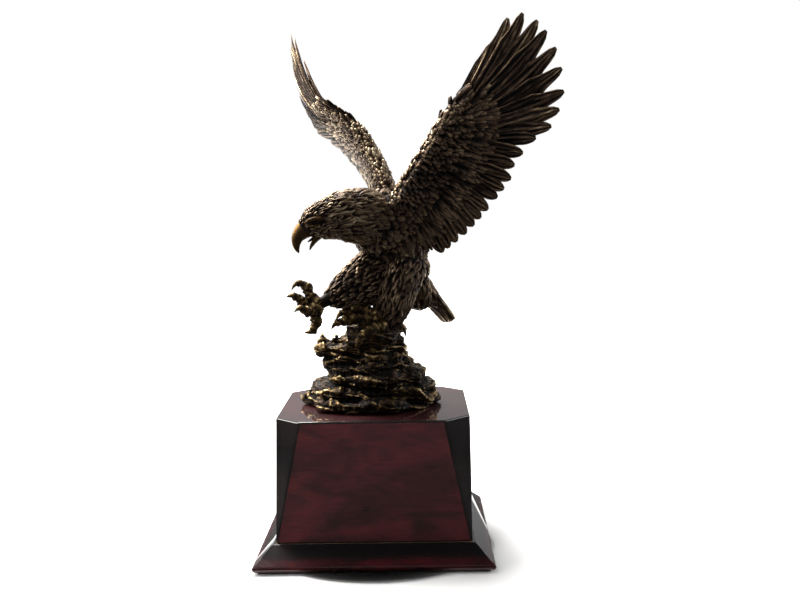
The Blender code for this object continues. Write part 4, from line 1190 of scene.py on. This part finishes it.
# places along a blade and its share of the full half width there
PRIMARY_WIDTH = ([0, 0.2, 0.45, 0.76, 0.84, 0.92, 0.97, 1], [0.35, 0.75, 1.08, 1.14, 0.80, 0.62, 0.46, 0.18])
SECONDARY_WIDTH = ([0, 0.3, 0.7, 0.86, 0.95, 1], [0.6, 0.9, 1.05, 0.95, 0.66, 0.22])


def flight_blades(plane, rays, half_width, widths, curl, lead, bow, seed):
    """Flight feathers: two-faced blades along their rays, ridged lengthwise and tilted to overlap.

    The mid surface is lifted by a tilt across and a curl along squared.  Each
    face stands off it by half a millimetre, a shaft ridge and shallow waves.
    lead is each feather's front vane as a share of its rear one, and bow how
    far its middle swings back from the straight line to its tip.
    """
    rng = np.random.default_rng(seed)
    a = BLADE_ALONG[None, :, None]
    b = BLADE_ACROSS[None, None]
    root = rays[:, 4:6]
    way = rays[:, 2:4] - root
    reach = np.linalg.norm(way, axis=-1)
    way = way / reach[:, None]
    wide = np.interp(BLADE_ALONG, *widths)[None, :, None] * half_width
    wide = wide * np.where(b < 0, lead[:, None, None], 1.0)
    sway = rng.normal(0, 0.015, len(rays))[:, None, None] * reach[:, None, None] * a ** 2
    sway = sway + 4 * bow[:, None, None] * a * (1 - a)
    aside = b * wide + sway
    root_s, root_c = root.T[..., None, None]
    way_s, way_c = way.T[..., None, None]
    s = root_s + way_s * reach[:, None, None] * a - way_c * aside
    c = root_c + way_c * reach[:, None, None] * a + way_s * aside
    tilt = 1.3 * b * wide / half_width + curl * a ** 2 + rng.normal(0, 0.3, len(rays))[:, None, None]
    waver = rng.uniform(0, 6, len(rays))[:, None, None]
    waver = waver + 1.6 * np.sin(5 * a + rng.uniform(0, 6, len(rays))[:, None, None])
    wave = np.cos(3.4 * math.pi * b + waver)
    ridge = 0.55 * np.exp(-(b / 0.13) ** 2) + 0.42 * wave
    thick = (0.55 + 0.7 * (1 - a)) * np.sqrt(np.clip(1.04 - b ** 2, 0, 1)) * np.clip((1.02 - a) * 6, 0.3, 1)
    stand = thick + ridge * np.clip((1.05 - a) * 5, 0, 1)
    top = plane(s, c, tilt + stand)
    under = plane(s, c, tilt - stand)
    rings = np.concatenate([top, under[:, :, ::-1]], axis=2)
    rub = 0.20 + 0.28 * np.exp(-(b / 0.14) ** 2) + 0.20 * wave
    rub = rub + 0.30 * np.abs(b) ** 6 + 0.22 * np.clip((a - 0.75) / 0.25, 0, 1) - 0.10 * (1 - a)
    rub = rub + rng.normal(0, 0.05, len(rays))[:, None, None]
    values = (b * wide, a * reach[:, None, None], rub)
    face = np.stack([np.broadcast_to(value, s.shape) for value in values], axis=-1)
    vane = np.concatenate([face, face[:, :, ::-1]], axis=2)
    return rings.reshape(-1, 3), repeated_tubes(*rings.shape[:3]), vane.reshape(-1, 3)


def covert_row(rays, distance, first, last, spacing, offset, rng):
    """One row of coverts a distance from the leading edge: the s and c of each, and its heading."""
    ray = path_at(rays, np.linspace(first, last, 400) / (len(rays) - 1))
    way = ray[:, 2:4] - ray[:, :2]
    way = way / np.linalg.norm(way, axis=-1, keepdims=True)
    line = ray[:, :2] + way * distance
    travelled = np.concatenate([[0], np.cumsum(np.linalg.norm(np.diff(line, axis=0), axis=-1))])
    wanted = np.arange(offset * spacing, travelled[-1], spacing)
    wanted = wanted + rng.normal(0, 0.14, len(wanted)) * spacing
    s = np.interp(wanted, travelled, line[:, 0])
    c = np.interp(wanted, travelled, line[:, 1])
    turned = np.interp(wanted, travelled, np.unwrap(np.arctan2(way[:, 1], way[:, 0])))
    return np.stack([s, c, turned + rng.normal(0, 0.13, len(s))])


COVERT_ROWS = [
    # first and last distance from the edge, how many rows, length, half width, first and last ray, kind, lift
    (24.0, 33.0, 4, 15.0, 2.0, 4.5, 22.6, "vane", 1.0),
    (16.5, 22.0, 3, 7.5, 2.6, 3.5, 23.2, "scale", 1.2),
    (0.5, 14.5, 6, 5.4, 2.6, 2.0, 24.0, "scale", 1.3),
]
HAND_ROWS = [
    # the same for the hand, whose feathers are narrower
    (13.0, 21.0, 2, 15.0, 1.9, 0.6, 8.5, "vane", 0.9),
    (5.0, 11.0, 3, 9.0, 1.9, 0.8, 8.5, "vane", 0.9),
    (0.5, 3.0, 2, 6.0, 1.9, 1.6, 9.0, "scale", 0.9),
]
WING_LIMITS = (-60.0, 220.0)


def wing_coverts(plane, rays, outward, face, wear_and_painted_light, seed):
    """All the coverts of one face of a wing, laid from the trailing rows forward."""
    rng = np.random.default_rng(seed)

    def side_skin(s, c):
        return plane(s, c, face * arm_thickness(s, c))
    shells = []
    for group in COVERT_ROWS + HAND_ROWS:
        low, high, count, length, half_width, first, last, kind, lift = group
        for index, distance in enumerate(np.linspace(high, low, count)):
            offset = 0.5 * (index % 2) + 0.3
            s, c, heading = covert_row(rays, distance, first, last, half_width * 1.6, offset, rng)
            sizes = length * (1 + rng.normal(0, 0.08, len(s)))
            shells.append(feather_coat(side_skin, s, c, heading, sizes, half_width, kind, lift, seed + index,
                                       outward, WING_LIMITS, wear_and_painted_light))
    edge = np.linspace(-6, WRIST_MM - 4, 22)
    edge_c = np.interp(edge, [-9, 0, 58, WRIST_MM], [-1, -2.5, -2.5, -4]) + 1.2
    shells.append(feather_coat(side_skin, edge, edge_c, np.full(22, 0.45), 6.5, 2.2, "scale", 1.0, seed + 90,
                               outward, WING_LIMITS))
    alula_s = WRIST_MM - np.array([8.0, 5.0, 2.0])
    alula_c = np.array([-3.0, -1.0, 1.5])
    alula_heading = np.array([-0.22, -0.08, 0.08])
    alula_length = np.array([13.0, 14.0, 14.0])
    shells.append(feather_coat(side_skin, alula_s, alula_c, alula_heading, alula_length, 1.9, "vane", 1.4,
                               seed + 91, outward, WING_LIMITS))
    return merged(*shells)


def leading_edge(plane, seed):
    """A roll along the front of the arm, in small scales that point to the wing's tip."""
    s = np.linspace(-8, WRIST_MM, 12)
    c = np.interp(s, [-9, 0, 58, WRIST_MM], [0.5, -1.5, -1.5, -2.5])
    radius = np.interp(s, [-8, 20, 60, WRIST_MM], [4.6, 3.6, 3.1, 2.0])
    spine = np.column_stack([plane(s, c), radius, radius * 1.15])
    roll = limb(spine, SIDEWAYS, blunt=30, swell=0.25)
    t, turn = limb_rows(roll, 0.01, 0.98, 3.0, 3.0, seed)
    lean = np.random.default_rng(seed).normal(0, 0.3, len(t))
    scales = feather_coat(roll, t, turn, lean, 5.4, 2.0, "scale", 1.1, seed, wear_and_painted_light=0.14)
    return merged(skin_shell(roll, 70, 14), scales)


for wing_name, (wing_shape, wing_fan) in WING_SHAPES.items():
    side = wing_shape[0]
    wing_skin = wing_plane(*wing_shape)
    rays = flight_rays(*wing_fan)
    seed = 600 if side > 0 else 700
    counted = np.arange(PRIMARY_COUNT)
    primary_lead = np.interp(counted, [0, 1, 4, 9], [0.35, 0.7, 0.9, 1.0])
    primary_bow = np.interp(counted, [0, 1, 5, 9], [0.0, 5.0, 3.5, 0.5])
    primaries = flight_blades(wing_skin, rays[:PRIMARY_COUNT], 6.8, PRIMARY_WIDTH, 2.5, primary_lead,
                              primary_bow, seed)
    arm_rays = rays[PRIMARY_COUNT:PRIMARY_COUNT + SECONDARY_COUNT]
    secondaries = flight_blades(wing_skin, arm_rays, 6.0, SECONDARY_WIDTH, 1.0, np.ones(SECONDARY_COUNT),
                                np.zeros(SECONDARY_COUNT), seed + 1)
    make_piece(f"{wing_name}_leading_edge", leading_edge(wing_skin, seed + 5), eagle_bronze, "antique_bronze")
    quills = merged(wing_core(wing_skin, rays), primaries, secondaries)
    make_piece(f"{wing_name}_flight_feathers", quills, eagle_bronze, "antique_bronze", wing_name)
    for face_name, face in (("back", 1), ("front", -1)):
        # painted shade and light: the raised near wing's front, which hangs in shade, is painted darker; the
        # far wing is painted brighter, partly for its rubbing and partly as painted light
        wear_and_painted_light = 0.05 if side < 0 else -0.13 if face < 0 else 0.0
        coverts = wing_coverts(wing_skin, rays, -side * face, face, wear_and_painted_light, seed + 20 + face)
        make_piece(f"{wing_name}_coverts_{face_name}", coverts, eagle_bronze, "antique_bronze")


# --------------------------------------------------------------- head and neck
# One casting slipped over a pin: loose lanceolate hackles stream from the crown
# down the neck; the brow, cere and open beak are left smooth and rubbed bright.
HEAD_SPINE = [
    # x, y, z, half width, half depth, from inside the breast forward to the cere
    (4, -11, 256, 17, 18), (-5, -22, 258, 19, 20), (-13, -31, 258.5, 18, 19), (-21, -38, 259, 15.5, 17),
    (-29, -44, 257.5, 13.5, 15.5), (-38, -47, 255, 11.5, 13), (-45, -48, 251, 7.5, 9),
    (-49, -48.5, 247.5, 4, 5.5),
]
head_skin = limb(HEAD_SPINE, SIDEWAYS, blunt=18, swell=0.06)
neck_t, neck_turn = limb_rows(head_skin, 0.02, 0.60, 3.2, 3.0, 801)
neck_lean = math.pi + np.random.default_rng(802).normal(0, 0.24, len(neck_t))
neck_hackles = feather_coat(head_skin, neck_t, neck_turn, neck_lean, 12.5, 1.6, "hackle", 1.7, 803,
                            wear_and_painted_light=0.12)
crown_t, crown_turn = limb_rows(head_skin, 0.58, 0.955, 2.0, 2.1, 804)
SIDE_OF_SKULL = np.array([-0.05, -1.0, 0.0])
EYE_HALF_GAP = 9.6
EYE_RADIUS = 2.3
EYE_PLACE = np.array([-39.5, -47.2, 254.2])
EYE_OUT = SIDE_OF_SKULL * EYE_HALF_GAP
crown_at = head_skin(crown_t, crown_turn)
clear = np.ones(len(crown_t), bool)
for eye_centre in (EYE_PLACE + EYE_OUT, EYE_PLACE - EYE_OUT):
    from_eye = crown_at - eye_centre - np.array([-1.5, 0, 1.0])
    clear &= np.hypot(from_eye[:, 0] / 7.5, np.hypot(from_eye[:, 1] / 5, from_eye[:, 2] / 4.0)) > 1
crown_t, crown_turn = crown_t[clear], crown_turn[clear]
crown_lean = math.pi + np.random.default_rng(805).normal(0, 0.20, len(crown_t))
crown_length = 5.6 - 2.6 * (crown_t - 0.58) / 0.37
crown_hackles = feather_coat(head_skin, crown_t, crown_turn, crown_lean, crown_length, 1.15, "hackle", 0.8,
                             806, wear_and_painted_light=0.06)
head_shells = merged(skin_shell(head_skin, 80, 50), neck_hackles, crown_hackles)
make_piece("head_and_neck_hackles", head_shells, eagle_bronze, "antique_bronze", "head_and_neck")

UPPER_BEAK = [
    # x, y, z, half width, half depth, from the cere over the culmen to the hook's point
    (-40, -47.5, 252, 7.2, 7.6), (-45, -48, 250.5, 6.0, 6.9), (-49.5, -48.5, 247.5, 4.8, 5.8),
    (-52.8, -49, 243.5, 3.5, 4.3), (-54.0, -49, 239, 2.3, 3.0), (-53.6, -49, 235, 1.4, 1.7),
    (-52.4, -49, 232, 0.35, 0.4),
]
LOWER_BEAK = [
    (-33, -46.5, 248, 4.6, 3.6), (-37, -47.2, 244.5, 3.8, 2.5), (-40.5, -47.8, 241, 2.9, 1.9),
    (-43, -48.2, 237.5, 1.9, 1.3), (-44.5, -48.5, 234, 0.4, 0.4),
]
TONGUE = [
    (-36, -47, 247, 2.4, 1.6), (-41, -47.8, 243.5, 2.0, 1.2), (-44.5, -48.2, 241, 1.4, 0.8),
    (-46, -48.4, 240, 0.4, 0.3),
]
SIDEWAYS_BEAK = np.array([0.05, -1.0, 0.0])


def horn_shell(spine, ridge, rub):
    """A beak half: a limb's skin drawn to a keel on top, by the ridge times the sine to the sixth."""
    skin = limb(spine, SIDEWAYS_BEAK, blunt=40, swell=0.0)
    t, turn = ring_grid(0, 1, 44, 28)
    points = skin(t, turn)
    middle = points.mean(axis=1, keepdims=True)
    top = np.clip(np.sin(turn), 0, 1)
    points = middle + (points - middle) * (1 + (ridge * top ** 6)[..., None])
    return rubbed_shell(points, rub + 0.22 * top ** 2 - 0.18 * np.cos(turn) ** 2 * (1 - t))


BEAK_TONES = [(0.05, "#0f0b07"), (0.34, "#3d2b17"), (0.55, "#7a5b30"), (0.76, "#b08c50"), (1.0, "#dcc28a")]
beak_bronze = patinated_bronze("beak_bronze_rubbed_bright", BEAK_TONES, 4.0, 0.30)
beak_shells = merged(horn_shell(UPPER_BEAK, 0.16, 0.38), horn_shell(LOWER_BEAK, 0.05, 0.38),
                     horn_shell(TONGUE, 0, 0.25))
make_piece("open_beak", beak_shells, beak_bronze, "antique_bronze")


def brow_and_eye(side):
    """One side's brow ridge, eyeball and lid: two tapered rolls over and under a ball in the skull's side.

    side is 1 for the eye to the camera's side.
    """
    flank = EYE_OUT / EYE_HALF_GAP * side
    centre = EYE_PLACE + EYE_OUT * side
    tilt, turn = ring_grid(0.02, math.pi - 0.02, 16, 20)
    ball = np.stack([np.sin(tilt) * np.cos(turn), np.sin(tilt) * np.sin(turn), np.cos(tilt)], axis=-1)
    shells = [rubbed_shell(centre + EYE_RADIUS * ball, 0.05)]
    offset = flank * 1.3
    brow = [(*(centre + offset + np.array(step)), *size) for step, size in (
        ((-7.0, 0, -0.4), (0.5, 0.5)), ((-4.2, 0, 1.6), (1.7, 1.3)), ((0, 0, 3.2), (2.1, 1.6)),
        ((4.5, 0, 3.6), (2.0, 1.6)), ((9.5, 0, 2.6), (0.5, 0.5)))]
    lid = [(*(centre + offset * 0.8 + np.array(step)), *size) for step, size in (
        ((-4.2, 0, -0.6), (0.4, 0.4)), ((-2.0, 0, -2.1), (0.9, 0.7)), ((1.5, 0, -2.4), (1.0, 0.8)),
        ((4.8, 0, -0.8), (0.4, 0.4)))]
    for roll in (brow, lid):
        skin = limb(roll, flank, blunt=30, swell=0.0)
        shells.append(skin_shell(skin, 30, 16, 0.36))
    return merged(*shells)


for eye_name, eye_side in (("near", 1), ("far", -1)):
    make_piece(f"{eye_name}_brow_and_eye", brow_and_eye(eye_side), beak_bronze, "antique_bronze")
